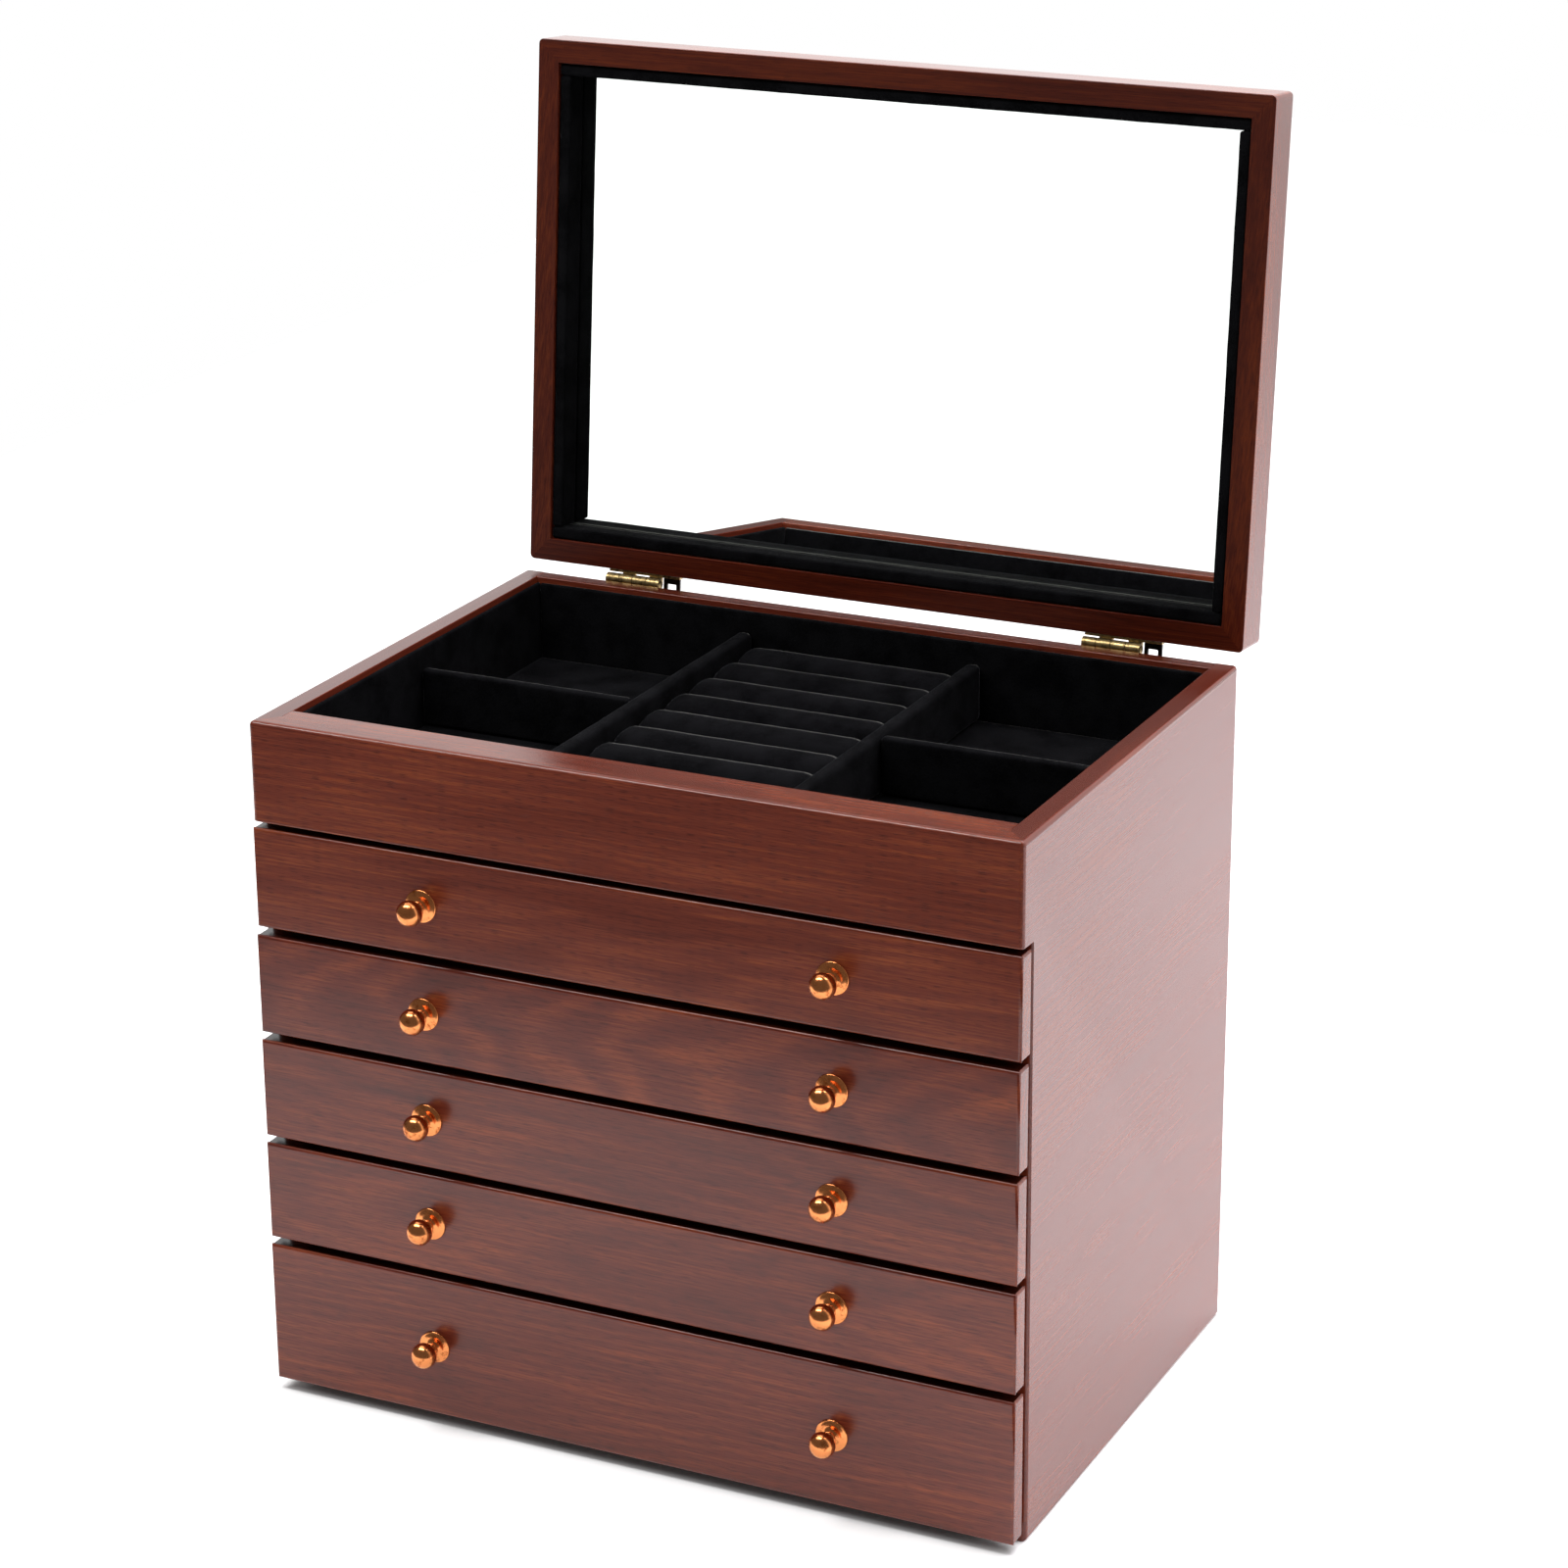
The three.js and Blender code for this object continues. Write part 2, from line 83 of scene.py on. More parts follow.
def length_setting(name, description, value, low, high):
    """A length, given in millimetres."""
    return bpy.props.FloatProperty(
        name=name, description=description, default=value * MM, unit="LENGTH", min=low * MM, max=high * MM)


def number_setting(name, description, value, low=0, high=1, **kind):
    return bpy.props.FloatProperty(
        name=name, description=description, default=value, min=low, max=high, **kind)


class WoodSettings(bpy.types.PropertyGroup):
    dark: colour_setting("Dark grain", "Stain in the late wood of each growth ring", "#521f15")
    middle: colour_setting("Ground", "Main red-brown of the stained veneer", "#6a2a1b")
    light: colour_setting("Light grain", "Stain in the early wood, more orange", "#8c4020")
    inner: colour_setting("Inner boards", "Dull stain on the boards inside", "#3e1a12")
    edge_radius: length_setting("Outer edge radius", "Rounding of the outer edges of the case", 2.0, 0.1, 3)
    drawer_edge: length_setting(
        "Drawer front, front edges", "Rounding of the front edges of a drawer front", 1.2, 0.1, 3)
    under_edge: length_setting(
        "Band, lower edge", "Rounding of the lower edge of the band above the drawers", 0.8, 0.1, 3)
    eased_edge: length_setting(
        "Eased edge radius", "Rounding where an edge was only taken off with paper", 0.4, 0.05, 2)
    drawer_back_radius: length_setting(
        "Drawer front, back edges", "Rounding of the back edges of a drawer front", 0.6, 0.1, 4)
    roughness: number_setting("Lacquer roughness", "Satin lacquer", 0.22, subtype="FACTOR")


class VelvetSettings(bpy.types.PropertyGroup):
    colour: colour_setting("Velvet", "Colour down in the pile", "#030304")
    brushed: colour_setting("Brushed velvet", "Colour where the pile leans towards the light", "#101012")
    # Crest is painted sheen: a grey put into the velvet's colour on the slopes just behind each crest,
    # where the pile would catch a glancing light
    crest: colour_setting("Crest", "Pile that stands up just behind a crest", "#6e6e6a")
    sheen: number_setting(
        "Sheen", "Light caught by the tips of the pile at a glancing angle", 0.4, subtype="FACTOR")
    wrap_radius: length_setting(
        "Wrapped edge radius", "How round velvet folds over the edge of a card", 1.0, 0.2, 3)
    unevenness: length_setting("Unevenness", "How far the glued velvet wanders from flat", 0.22, 0, 1)
    roll_pitch: length_setting("Ring roll pitch", "From one ring roll to the next", 21.7, 5, 40)


class MetalSettings(bpy.types.PropertyGroup):
    copper: colour_setting("Copper", "Antique copper plate on the knobs", "#e08c54")
    copper_patina: colour_setting("Copper patina", "Darker brown left in the plating", "#8a4218")
    brass: colour_setting("Brass", "Hinge brass where it is rubbed bright", "#d2b67e")
    brass_patina: colour_setting("Brass patina", "Dark antique patina of the hinges", "#1e170c")


class StudioSettings(bpy.types.PropertyGroup):
    lens: number_setting("Lens", "Focal length in millimetres on a 36 mm sensor", 97.9, 20, 300)
    overhead: number_setting(
        "Overhead softbox", "Light above and to the left of the chest", 11.5, 0, 1000, unit="POWER")
    background_lamp: number_setting(
        "Background lamp", "Light on the table behind and to the right", 11.0, 0, 1000, unit="POWER")
    backdrop: number_setting(
        "Backdrop", "Brightness of the lit backdrop, where 1 is paper white", 1.45, 0, 10)
    table_glow: number_setting("Table glow", "Light that comes up through the white table", 0.45, 0, 10)
    dim_room: number_setting("Dim room", "Brightness of the room behind the camera", 0.17, 0, 10)


class ChestSettings(bpy.types.PropertyGroup):
    wood: bpy.props.PointerProperty(type=WoodSettings)
    velvet: bpy.props.PointerProperty(type=VelvetSettings)
    metal: bpy.props.PointerProperty(type=MetalSettings)
    studio: bpy.props.PointerProperty(type=StudioSettings)


def settings():
    return bpy.context.scene.jewellery_chest


# ---- node trees ----
MIX_COLOUR_A, MIX_COLOUR_B, MIX_COLOUR_OUT = 6, 7, 2


def add_node(tree, kind, inputs=None, stops=None, **values):
    """Adds a node with its settings. An input is a number, a vector, a colour or another node's output."""
    node = tree.nodes.new(kind)
    for name, value in values.items():
        setattr(node, name, value)
    for key, value in (inputs or {}).items():
        if isinstance(value, bpy.types.NodeSocket):
            tree.links.new(value, node.inputs[key])
        else:
            node.inputs[key].default_value = value
    if stops:
        ramp = node.color_ramp
        while len(ramp.elements) < len(stops):
            ramp.elements.new(0.5)
        for element, (place, colour) in zip(ramp.elements, stops):
            element.position = place
            element.color = (*colour, 1)
    return node


def maths(tree, operation, *values):
    return add_node(tree, "ShaderNodeMath", dict(enumerate(values)), operation=operation).outputs[0]


def remap(tree, value, low, high, to_low=0.0, to_high=1.0, kind="SMOOTHSTEP"):
    """Takes low to to_low and high to to_high, and stays level beyond them."""
    return add_node(tree, "ShaderNodeMapRange", {
        "Value": value, "From Min": low, "From Max": high, "To Min": to_low, "To Max": to_high},
        interpolation_type=kind).outputs[0]


def linear_remap(tree, *values):
    return remap(tree, *values, kind="LINEAR")


def mixed(tree, amount, first, second, **values):
    """A colour from another node, mixed with a second one given as three numbers."""
    return add_node(tree, "ShaderNodeMix", {
        0: amount, MIX_COLOUR_A: first, MIX_COLOUR_B: (*second, 1)},
        data_type="RGBA", **values).outputs[MIX_COLOUR_OUT]


def object_noise(tree, place, width, detail, roughness=0.5):
    """Noise about so many millimetres across."""
    return add_node(tree, "ShaderNodeTexNoise", {
        "Vector": place.outputs["Object"], "Scale": 1 / (width * MM), "Detail": detail,
        "Roughness": roughness}).outputs["Fac"]


def bumps(tree, height, strength, distance):
    return add_node(tree, "ShaderNodeBump", {
        "Height": height, "Strength": strength, "Distance": distance * MM}).outputs[0]


def new_material(name):
    """An empty material, its tree, and the coordinates that its patterns lie in."""
    material = bpy.data.materials.new(name)
    material.use_nodes = True
    tree = material.node_tree
    tree.nodes.clear()
    return material, tree, add_node(tree, "ShaderNodeTexCoord")


def surface(material, inputs):
    """Ends a material with one Principled shader."""
    shader = add_node(material.node_tree, "ShaderNodeBsdfPrincipled", inputs)
    add_node(material.node_tree, "ShaderNodeOutputMaterial", {"Surface": shader.outputs[0]})
    return material


# ---- materials ----
def grey(value):
    return (value, value, value)


def scaled(colour, share):
    return [value * share for value in colour]


# Turns that lay the grain of a board along the pattern's X.
GRAIN = {
    "x": (0, 0, 0),
    "y": (0, 0, -math.pi / 2),
    "lid": (0, math.pi / 2 - (LID_OPEN - math.pi / 2), 0),
}


def streaks(tree, board, length, width, detail):
    """Noise drawn out along the grain, in the millimetres of a board."""
    stretched = add_node(tree, "ShaderNodeVectorMath", {
        0: board, 1: (1 / length, 1 / width, 1 / width)}, operation="MULTIPLY")
    return add_node(tree, "ShaderNodeTexNoise", {
        "Vector": stretched.outputs[0], "Scale": 1.0, "Detail": detail})


def growth_rings(tree, log, spacing, distortion, detail_scale):
    """Rings about the pattern's X. A wave texture of scale 1 has a ring every tenth of pi."""
    return add_node(tree, "ShaderNodeTexWave", {
        "Vector": log, "Scale": math.pi / 10 / spacing, "Distortion": distortion, "Detail": 2.0,
        "Detail Scale": detail_scale}, wave_type="RINGS", rings_direction="X").outputs["Fac"]


def mahogany(name, grain, start=(0, 0, 0), arch=70, lean=0.05, contrast=1.0, pores=0.5,
             tone=(1, 1, 1), relief=0.10, level_darkening=0.0, rim_darkening=(1, 1, 1), evenness=1.0):
    """Mahogany veneer, flat-sliced, stained red-brown and sprayed with satin lacquer.

    The eye sees a soft red-brown ground with darker growth lines about 3.6 mm apart, long fine fibre
    streaks, short open pores, and a broad sheen from the lacquer.
    start moves the figure in millimetres, arch is how deep under the face the heart of the log lay,
    and lean is how far the log leaned to the face, which opens the lines into arches.
    tone multiplies the stain. The level faces are darkened towards a near-black brown by a given amount: on
    the drawer fronts this is painted shade in the gaps between the drawers, and on the case it only makes
    the level faces darker. The colour on the faces of the open lid's rim is multiplied by a given colour,
    which makes them darker and more orange.
    evenness above 1 narrows the range of the stain.
    """
    ring_spacing, sway_width = 3.6, 9
    wood = settings().wood
    material, tree, place = new_material(name)
    board = add_node(tree, "ShaderNodeMapping", {
        "Vector": place.outputs["Object"], "Location": start, "Rotation": GRAIN[grain],
        "Scale": grey(1 / MM)}).outputs[0]
    wander = streaks(tree, board, length=95, width=26, detail=1.5).outputs["Color"]
    sway = add_node(tree, "ShaderNodeVectorMath", {
        0: wander, 1: (0, sway_width, sway_width), 2: board}, operation="MULTIPLY_ADD")
    log = add_node(tree, "ShaderNodeMapping", {
        "Vector": sway.outputs[0], "Location": (0, arch, 0), "Rotation": (0, 0, lean)})
    rings = growth_rings(tree, log.outputs[0], ring_spacing, 3.2, 0.22)
    fibres = streaks(tree, board, length=34, width=0.7, detail=3.0).outputs["Fac"]
    patches = streaks(tree, board, length=120, width=16, detail=3.0).outputs["Fac"]
    figure = maths(tree, "MULTIPLY_ADD", rings, 0.2 * contrast, fibres)
    figure = maths(tree, "MULTIPLY_ADD", patches, 0.9, figure)
    middle = 0.95 + 0.1 * contrast
    spread = (0.36 + 0.05 * contrast) * evenness
    dark, ground, light = [
        [v * t for v, t in zip(colour, tone)] for colour in (wood.dark, wood.middle, wood.light)]
    graded = linear_remap(tree, figure, middle - spread, middle + spread)
    stain = add_node(tree, "ShaderNodeValToRGB", {"Fac": graded}, stops=[
        (0.0, dark), (0.5, ground), (1.0, light)])
    dashes = streaks(tree, board, length=5.5, width=0.30, detail=0.0).outputs["Fac"]
    open_pores = linear_remap(tree, dashes, 0.57, 0.71, 0.0, pores)
    colour = mixed(tree, open_pores, stain.outputs[0], scaled(dark, 0.5))
    facing = add_node(tree, "ShaderNodeSeparateXYZ", {0: place.outputs["Normal"]})
    level = maths(tree, "ABSOLUTE", facing.outputs["Z"])
    # painted shade: the level faces are darkened towards a near-black brown; on the drawer fronts these
    # faces lie in the gaps between the drawers, and on the case this only darkens the level faces
    edges = linear_remap(tree, level, 0.90, 0.99, 0.0, level_darkening)
    colour = mixed(tree, edges, colour, scaled(dark, 0.12))
    # the colour is made darker and more orange on the faces of the open lid's rim, the faces that point to
    # -Y while it is open
    if rim_darkening != (1, 1, 1):
        rim = linear_remap(tree, facing.outputs["Y"], -0.95, -0.6, 1.0, 0.0)
        colour = mixed(tree, rim, colour, rim_darkening, blend_type="MULTIPLY")
    gloss = linear_remap(tree, patches, 0.3, 0.7, wood.roughness - 0.03, wood.roughness + 0.04)
    depth = maths(tree, "MULTIPLY_ADD", open_pores, -1.6, fibres)
    return surface(material, {
        "Normal": bumps(tree, depth, relief, 0.05), "Base Color": colour, "Roughness": gloss, "IOR": 1.46})


def stained_board(name, grain):
    """Solid softwood, stained dark and only sealed: dull, with plain straight grain."""
    ring_spacing = 5.0
    wood = settings().wood
    material, tree, place = new_material(name)
    board = add_node(tree, "ShaderNodeMapping", {
        "Vector": place.outputs["Object"], "Rotation": GRAIN[grain], "Scale": grey(1 / MM)}).outputs[0]
    rings = growth_rings(tree, board, ring_spacing, 4.0, 0.04)
    fibres = streaks(tree, board, length=40, width=0.9, detail=3.0).outputs["Fac"]
    figure = maths(tree, "MULTIPLY_ADD", rings, 0.3, fibres)
    stain = add_node(tree, "ShaderNodeValToRGB", {"Fac": figure}, stops=[
        (0.35, scaled(wood.inner, 0.72)), (0.95, scaled(wood.inner, 1.35))])
    return surface(material, {
        "Normal": bumps(tree, fibres, 0.35, 0.08), "Base Color": stain.outputs[0], "Roughness": 0.55,
        "IOR": 1.5})


def cotton_velvet(name):
    """Black cotton velvet glued over card: a short dense pile that swallows light.

    The tips catch a grey sheen at a glancing angle, and patches lean this way and that. A grey line of
    sheen is also painted into the colour on the slopes that face up and towards +Y just behind each crest:
    it shows as a lit line from the front and as a broad grey band from above or behind.
    The pile is drawn 0.45 mm across, coarser than the real 0.1 mm, so that it shows.
    """
    pile_width, patch_width = 0.45, 14
    velvet = settings().velvet
    material, tree, place = new_material(name)
    pile = object_noise(tree, place, pile_width, 2.0, 0.7)
    patches = object_noise(tree, place, patch_width, 4.0, 0.6)
    lean = maths(tree, "MULTIPLY_ADD", pile, 0.8, patches)
    nap = add_node(tree, "ShaderNodeValToRGB", {"Fac": lean}, stops=[
        (0.72, velvet.colour), (1.0, velvet.brushed)])
    facing = add_node(tree, "ShaderNodeSeparateXYZ", {0: place.outputs["Normal"]})
    # painted sheen: a mask of the slopes that face up and towards +Y, broken up by the pile
    back_slope = remap(tree, facing.outputs["Y"], 0.10, 0.28)
    upper = remap(tree, facing.outputs["Z"], 0.55, 0.80)
    crest = maths(tree, "MULTIPLY", back_slope, upper)
    crest = maths(tree, "MULTIPLY", crest, linear_remap(tree, pile, 0.3, 0.7))
    colour = mixed(tree, crest, nap.outputs[0], velvet.crest)
    return surface(material, {
        "Normal": bumps(tree, pile, 0.8, 0.25), "Base Color": colour, "Roughness": 1.0,
        "Specular IOR Level": 0.05, "Sheen Weight": velvet.sheen, "Sheen Roughness": 0.07,
        "Sheen Tint": (0.62, 0.64, 0.68, 1)})


def antique_metal(name, bright, patina, roughness, patch_width, cover):
    """Plated metal, antiqued with acid and rubbed back: satin, cloudy, and browner where patina stays."""
    speck_width = 0.35
    material, tree, place = new_material(name)
    clouds = object_noise(tree, place, patch_width, 5.0, 0.62)
    specks = object_noise(tree, place, speck_width, 1.0)
    amount = maths(tree, "MULTIPLY_ADD", specks, 0.15, clouds)
    mask = linear_remap(tree, amount, 0.75 - cover, 0.80)
    colour = add_node(tree, "ShaderNodeMix", {
        0: mask, MIX_COLOUR_A: (*bright, 1), MIX_COLOUR_B: (*patina, 1)}, data_type="RGBA")
    rough = linear_remap(tree, mask, 0.0, 1.0, roughness, roughness + 0.18)
    return surface(material, {
        "Normal": bumps(tree, specks, 0.12, 0.05), "Base Color": colour.outputs[MIX_COLOUR_OUT],
        "Metallic": 1.0, "Roughness": rough})


def silvered_glass(name):
    """Float glass silvered on its back: a clean, sharp mirror, very slightly green."""
    material, tree, place = new_material(name)
    haze = object_noise(tree, place, 60, 3.0)
    tint = add_node(tree, "ShaderNodeValToRGB", {"Fac": haze}, stops=[
        (0.3, linear("#eff4f1")), (0.7, linear("#f5f8f6"))])
    return surface(material, {"Base Color": tint.outputs[0], "Metallic": 1.0, "Roughness": 0.0})


LID_RAIL = dict(contrast=0.6, pores=0.35, rim_darkening=(0.46, 0.38, 0.24))
# a drawer front's level faces are darkened hard, as painted shade for the gaps between the drawers
DRAWER_FRONT = dict(grain="x", level_darkening=0.85)

# How each veneer was cut and stained.
MAHOGANY = {
    "band": dict(grain="x", start=(40, 0, -16), arch=95, lean=0.03, contrast=0.7, pores=0.6,
                 tone=(1.18, 1.3, 1.25), relief=0.2, level_darkening=0.3),
    "case_sides": dict(grain="y", start=(0, 60, -100), arch=80, lean=0.04, pores=0.10, relief=0.02,
                       level_darkening=0.45, evenness=2.0),
    "case_back": dict(grain="x", start=(0, 0, -120), arch=60, contrast=0.7, level_darkening=0.5, evenness=1.4),
    "lid_cross_rails": dict(LID_RAIL, grain="x", start=(0, 0, 30)),
    "lid_long_rails": dict(LID_RAIL, grain="lid", start=(0, 30, 0)),
    "lid_panel": dict(grain="x", start=(0, 0, -380), arch=55, lean=0.06, contrast=0.7, evenness=1.4),
    "drawer_1": dict(DRAWER_FRONT, start=(-130, 0, -205), arch=75, contrast=0.7, tone=(1.08, 1.16, 1.10)),
    "drawer_2": dict(DRAWER_FRONT, start=(-60, 0, -172), arch=9, lean=0.10, contrast=1.3),
    "drawer_3": dict(DRAWER_FRONT, start=(150, 0, -160), arch=60, lean=0.04, contrast=0.8),
    "drawer_4": dict(DRAWER_FRONT, start=(-210, 0, -95), arch=85, lean=0.06, contrast=0.8),
    "drawer_5": dict(DRAWER_FRONT, start=(90, 0, 20), arch=65, contrast=0.8),
}

# What makes each other finish.
FINISHES = {
    "stained_board_cross": lambda name: stained_board(name, "x"),
    "stained_board_deep": lambda name: stained_board(name, "y"),
    "cotton_velvet": cotton_velvet,
    "antique_copper": lambda name: antique_metal(
        name, settings().metal.copper, settings().metal.copper_patina, 0.18, patch_width=3.0, cover=0.15),
    "antique_brass": lambda name: antique_metal(
        name, settings().metal.brass, settings().metal.brass_patina, 0.26, patch_width=2.0, cover=0.42),
    # painted shade: a near-black copy of the brass for the stop arch, which sits in shade under the lid
    "blackened_brass": lambda name: antique_metal(
        name, settings().metal.brass_patina, grey(0.004), 0.35, patch_width=2.0, cover=0.5),
    "silvered_glass": silvered_glass,
}


def finish(name):
    """A material by its name, made the first time that a piece asks for it."""
    made = bpy.data.materials.get(name)
    if made:
        return made
    if name in FINISHES:
        return FINISHES[name](name)
    return mahogany(name, **MAHOGANY[name.removeprefix("mahogany_")])


# ---- mesh helpers ----
EDGE_SEGMENTS = 4
CRISP_ANGLE = math.radians(42)


def box_mesh(low, high):
    bm = bmesh.new()
    bmesh.ops.create_cube(bm, size=1)
    for vert in bm.verts:
        vert.co = Vector([(low[i] + high[i]) / 2 + vert.co[i] * (high[i] - low[i]) for i in range(3)])
    return bm


def prism_mesh(outline, low, high, axis):
    """An outline in the two other axes, in their order, run along an axis from low to high."""
    bm = bmesh.new()
    rings = []
    for place in (low, high):
        ring = []
        for a, b in outline:
            point = [a, b]
            point.insert(axis, place)
            ring.append(bm.verts.new(point))
        rings.append(ring)
    join_rings(bm, rings)
    return bm


def join_rings(bm, rings, capped=True):
    """Skins a row of rings of vertices with quads and, if capped, closes both ends."""
    for lower, upper in zip(rings, rings[1:]):
        for i in range(len(lower)):
            j = (i + 1) % len(lower)
            bm.faces.new((lower[i], lower[j], upper[j], upper[i]))
    if capped:
        bm.faces.new(list(reversed(rings[0])))
        bm.faces.new(rings[-1])
    bmesh.ops.recalc_face_normals(bm, faces=bm.faces)


def round_edges(bm, radius, wanted, segments=EDGE_SEGMENTS):
    """Rounds the edges whose middle and direction satisfy wanted."""
    chosen = []
    for edge in bm.edges:
        a, b = edge.verts[0].co, edge.verts[1].co
        if wanted((a + b) / 2, (b - a).normalized()):
            chosen.append(edge)
    bmesh.ops.bevel(bm, geom=chosen, offset=radius, segments=segments, profile=0.5, affect="EDGES",
                    clamp_overlap=True)


def slice_off(bm, point, normal):
    """Cuts off what lies beyond a plane, on the side that its normal points to, and closes the cut."""
    everything = bm.verts[:] + bm.edges[:] + bm.faces[:]
    bmesh.ops.bisect_plane(bm, geom=everything, dist=1e-6, plane_co=point, plane_no=normal,
                           clear_outer=True)
    bmesh.ops.holes_fill(bm, edges=[edge for edge in bm.edges if edge.is_boundary], sides=0)


def on(value, level):
    return abs(value - level) < 1e-6


def lid_turn(angle):
    """A turn about the hinge line of the lid."""
    return Matrix.Translation(LID_AXIS) @ Matrix.Rotation(angle, 4, "X") @ Matrix.Translation(-LID_AXIS)


def opened(mesh):
    """Opens, with the lid, what was made as it lies when the lid is shut."""
    mesh.transform(lid_turn(-LID_OPEN))
    return mesh


def shut_box(node):
    """The box of a part of the lid as it lies when the lid is shut."""
    points = [lid_turn(LID_OPEN) @ vert.co for vert in frame["nodes"][node].data.vertices]
    return [Vector([limit(point[i] for point in points) for i in range(3)]) for limit in (min, max)]


def settled(obj):
    """Applies an object's modifiers, so that it holds a plain mesh."""
    graph = bpy.context.evaluated_depsgraph_get()
    mesh = bpy.data.meshes.new_from_object(obj.evaluated_get(graph))
    obj.modifiers.clear()
    old = obj.data
    obj.data = mesh
    mesh.name = obj.name
    bpy.data.meshes.remove(old)


def linked(name, data):
    """An object in the scene for a mesh, a lamp or a camera."""
    obj = bpy.data.objects.new(name, data)
    bpy.context.scene.collection.objects.link(obj)
    return obj


def new_object(name, bm, material):
    mesh = bpy.data.meshes.new(name)
    bm.to_mesh(mesh)
    bm.free()
    mesh.materials.append(material)
    return linked(name, mesh)


def carve(obj, bm, name):
    """Cuts a mesh out of an object. It returns the cutter, to be removed once the object is settled."""
    cutter = new_object(name, bm, obj.data.materials[0])
    cut = obj.modifiers.new(name, "BOOLEAN")
    cut.operation, cut.object, cut.solver = "DIFFERENCE", cutter, "EXACT"
    return cutter


def place_piece(obj, body, nodes=()):
    """Checks that a piece is closed, then hangs it on its body in place of its parts in the frame."""
    check = bmesh.new()
    check.from_mesh(obj.data)
    loose = [edge for edge in check.edges if len(edge.link_faces) != 2]
    volume = check.calc_volume(signed=True)
    check.free()
    if loose or volume <= 0:
        raise RuntimeError(f"{obj.name} has {len(loose)} open edges and a volume of {volume}")
    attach(obj, body)
    if nodes:
        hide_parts(*nodes)


def shade(bm):
    """Smooth shading that stays crisp across square edges."""
    bm.normal_update()
    for face in bm.faces:
        face.smooth = True
    for edge in bm.edges:
        edge.smooth = len(edge.link_faces) == 2 and edge.calc_face_angle() < CRISP_ANGLE


def make_piece(name, bm, finish_name, body, nodes=(), flat=True):
    """A finished piece. flat keeps big faces flat beside their rounded edges."""
    shade(bm)
    obj = new_object(name, bm, finish(finish_name))
    if flat:
        normals = obj.modifiers.new("face_normals", "WEIGHTED_NORMAL")
        normals.keep_sharp = True
        normals.weight = 100
        settled(obj)
    place_piece(obj, body, nodes)
    return obj


def veneered(node, bm, veneer, body="chest", name=None):
    make_piece(f"{name or node}_board", bm, f"mahogany_{veneer}", body, [node])


def velveted(node, bm, body="chest"):
    make_piece(f"{node}_velvet", bm, "cotton_velvet", body, [node], flat=False)


def join_meshes(meshes):
    """Several closed meshes as one."""
    whole = bmesh.new()
    for bm in meshes:
        part = bpy.data.meshes.new("part")
        bm.to_mesh(part)
        bm.free()
        whole.from_mesh(part)
        bpy.data.meshes.remove(part)
    return whole


def board(low, high, radius, square=()):
    """A board with rounded edges. square names the faces, such as +y, whose edges stay square."""
    bm = box_mesh(low, high)
    levels = [("xyz".index(face[1]), high if face[0] == "+" else low) for face in square]

    def wanted(middle, _):
        return not any(on(middle[axis], corner[axis]) for axis, corner in levels)

    round_edges(bm, radius, wanted)
    return bm


def soft_section(width, height, radius, step):
    """Points around a rounded rectangle about the origin, at most a step apart on its straight sides."""
    radius = min(radius, width / 2, height / 2)
    corner_steps = 4
    across, up = width / 2 - radius, height / 2 - radius
    centres = [(across, up), (-across, up), (-across, -up), (across, -up)]
    points = []
    for quarter, (x, y) in enumerate(centres):
        for i in range(corner_steps + 1):
            angle = math.pi / 2 * (quarter + i / corner_steps)
            points.append((x + radius * math.cos(angle), y + radius * math.sin(angle)))
        start_x, start_y = points[-1]
        next_x, next_y = centres[(quarter + 1) % 4]
        count = int((abs(next_x - x) + abs(next_y - y)) // step)
        for i in range(1, count):
            points.append((start_x + (next_x - x) * i / count, start_y + (next_y - y) * i / count))
    return points


def rounding(radius, steps):
    """Steps round the end of something: how far along from the end, and how far in from the side."""
    angles = [math.pi / 2 * i / steps for i in range(steps)]
    return [(radius * (1 - math.cos(angle)), radius * (1 - math.sin(angle))) for angle in angles]


def soft_board(low, high, radius, step=3 * MM):
    """A card wrapped in velvet: a rounded board with a slightly uneven skin."""
    size = [high[i] - low[i] for i in range(3)]
    along = size.index(max(size))
    a, b = [axis for axis in range(3) if axis != along]
    end_radius = min(radius, size[a] / 2, size[b] / 2)
    ends = rounding(end_radius, steps=3)
    straight = size[along] - 2 * end_radius
    count = max(2, int(straight / step))
    rows = ends + [(end_radius + straight * i / count, 0) for i in range(count + 1)]
    rows += [(size[along] - distance, inset) for distance, inset in reversed(ends)]
    bm = bmesh.new()
    rings = []
    section = soft_section(size[a], size[b], radius, step)
    for distance, inset in rows:
        ring = []
        for point_a, point_b in section:
            point = [(low[i] + high[i]) / 2 for i in range(3)]
            point[along] = low[along] + distance
            point[a] += point_a * (size[a] - 2 * inset) / size[a]
            point[b] += point_b * (size[b] - 2 * inset) / size[b]
            ring.append(bm.verts.new(point))
        rings.append(ring)
    join_rings(bm, rings)
    ruffle(bm, settings().velvet.unevenness)
    return bm


def ruffle(bm, amount, wave=16 * MM):
    """Moves a skin in and out a little along its normals, always inwards from where it was."""
    bm.normal_update()
    moves = []
    for vert in bm.verts:
        value = noise.noise(vert.co / wave) + 0.5 * noise.noise(vert.co / wave * 2.7)
        moves.append(vert.normal * (amount * (0.45 * value - 0.5)))
    for vert, move in zip(bm.verts, moves):
        vert.co += move


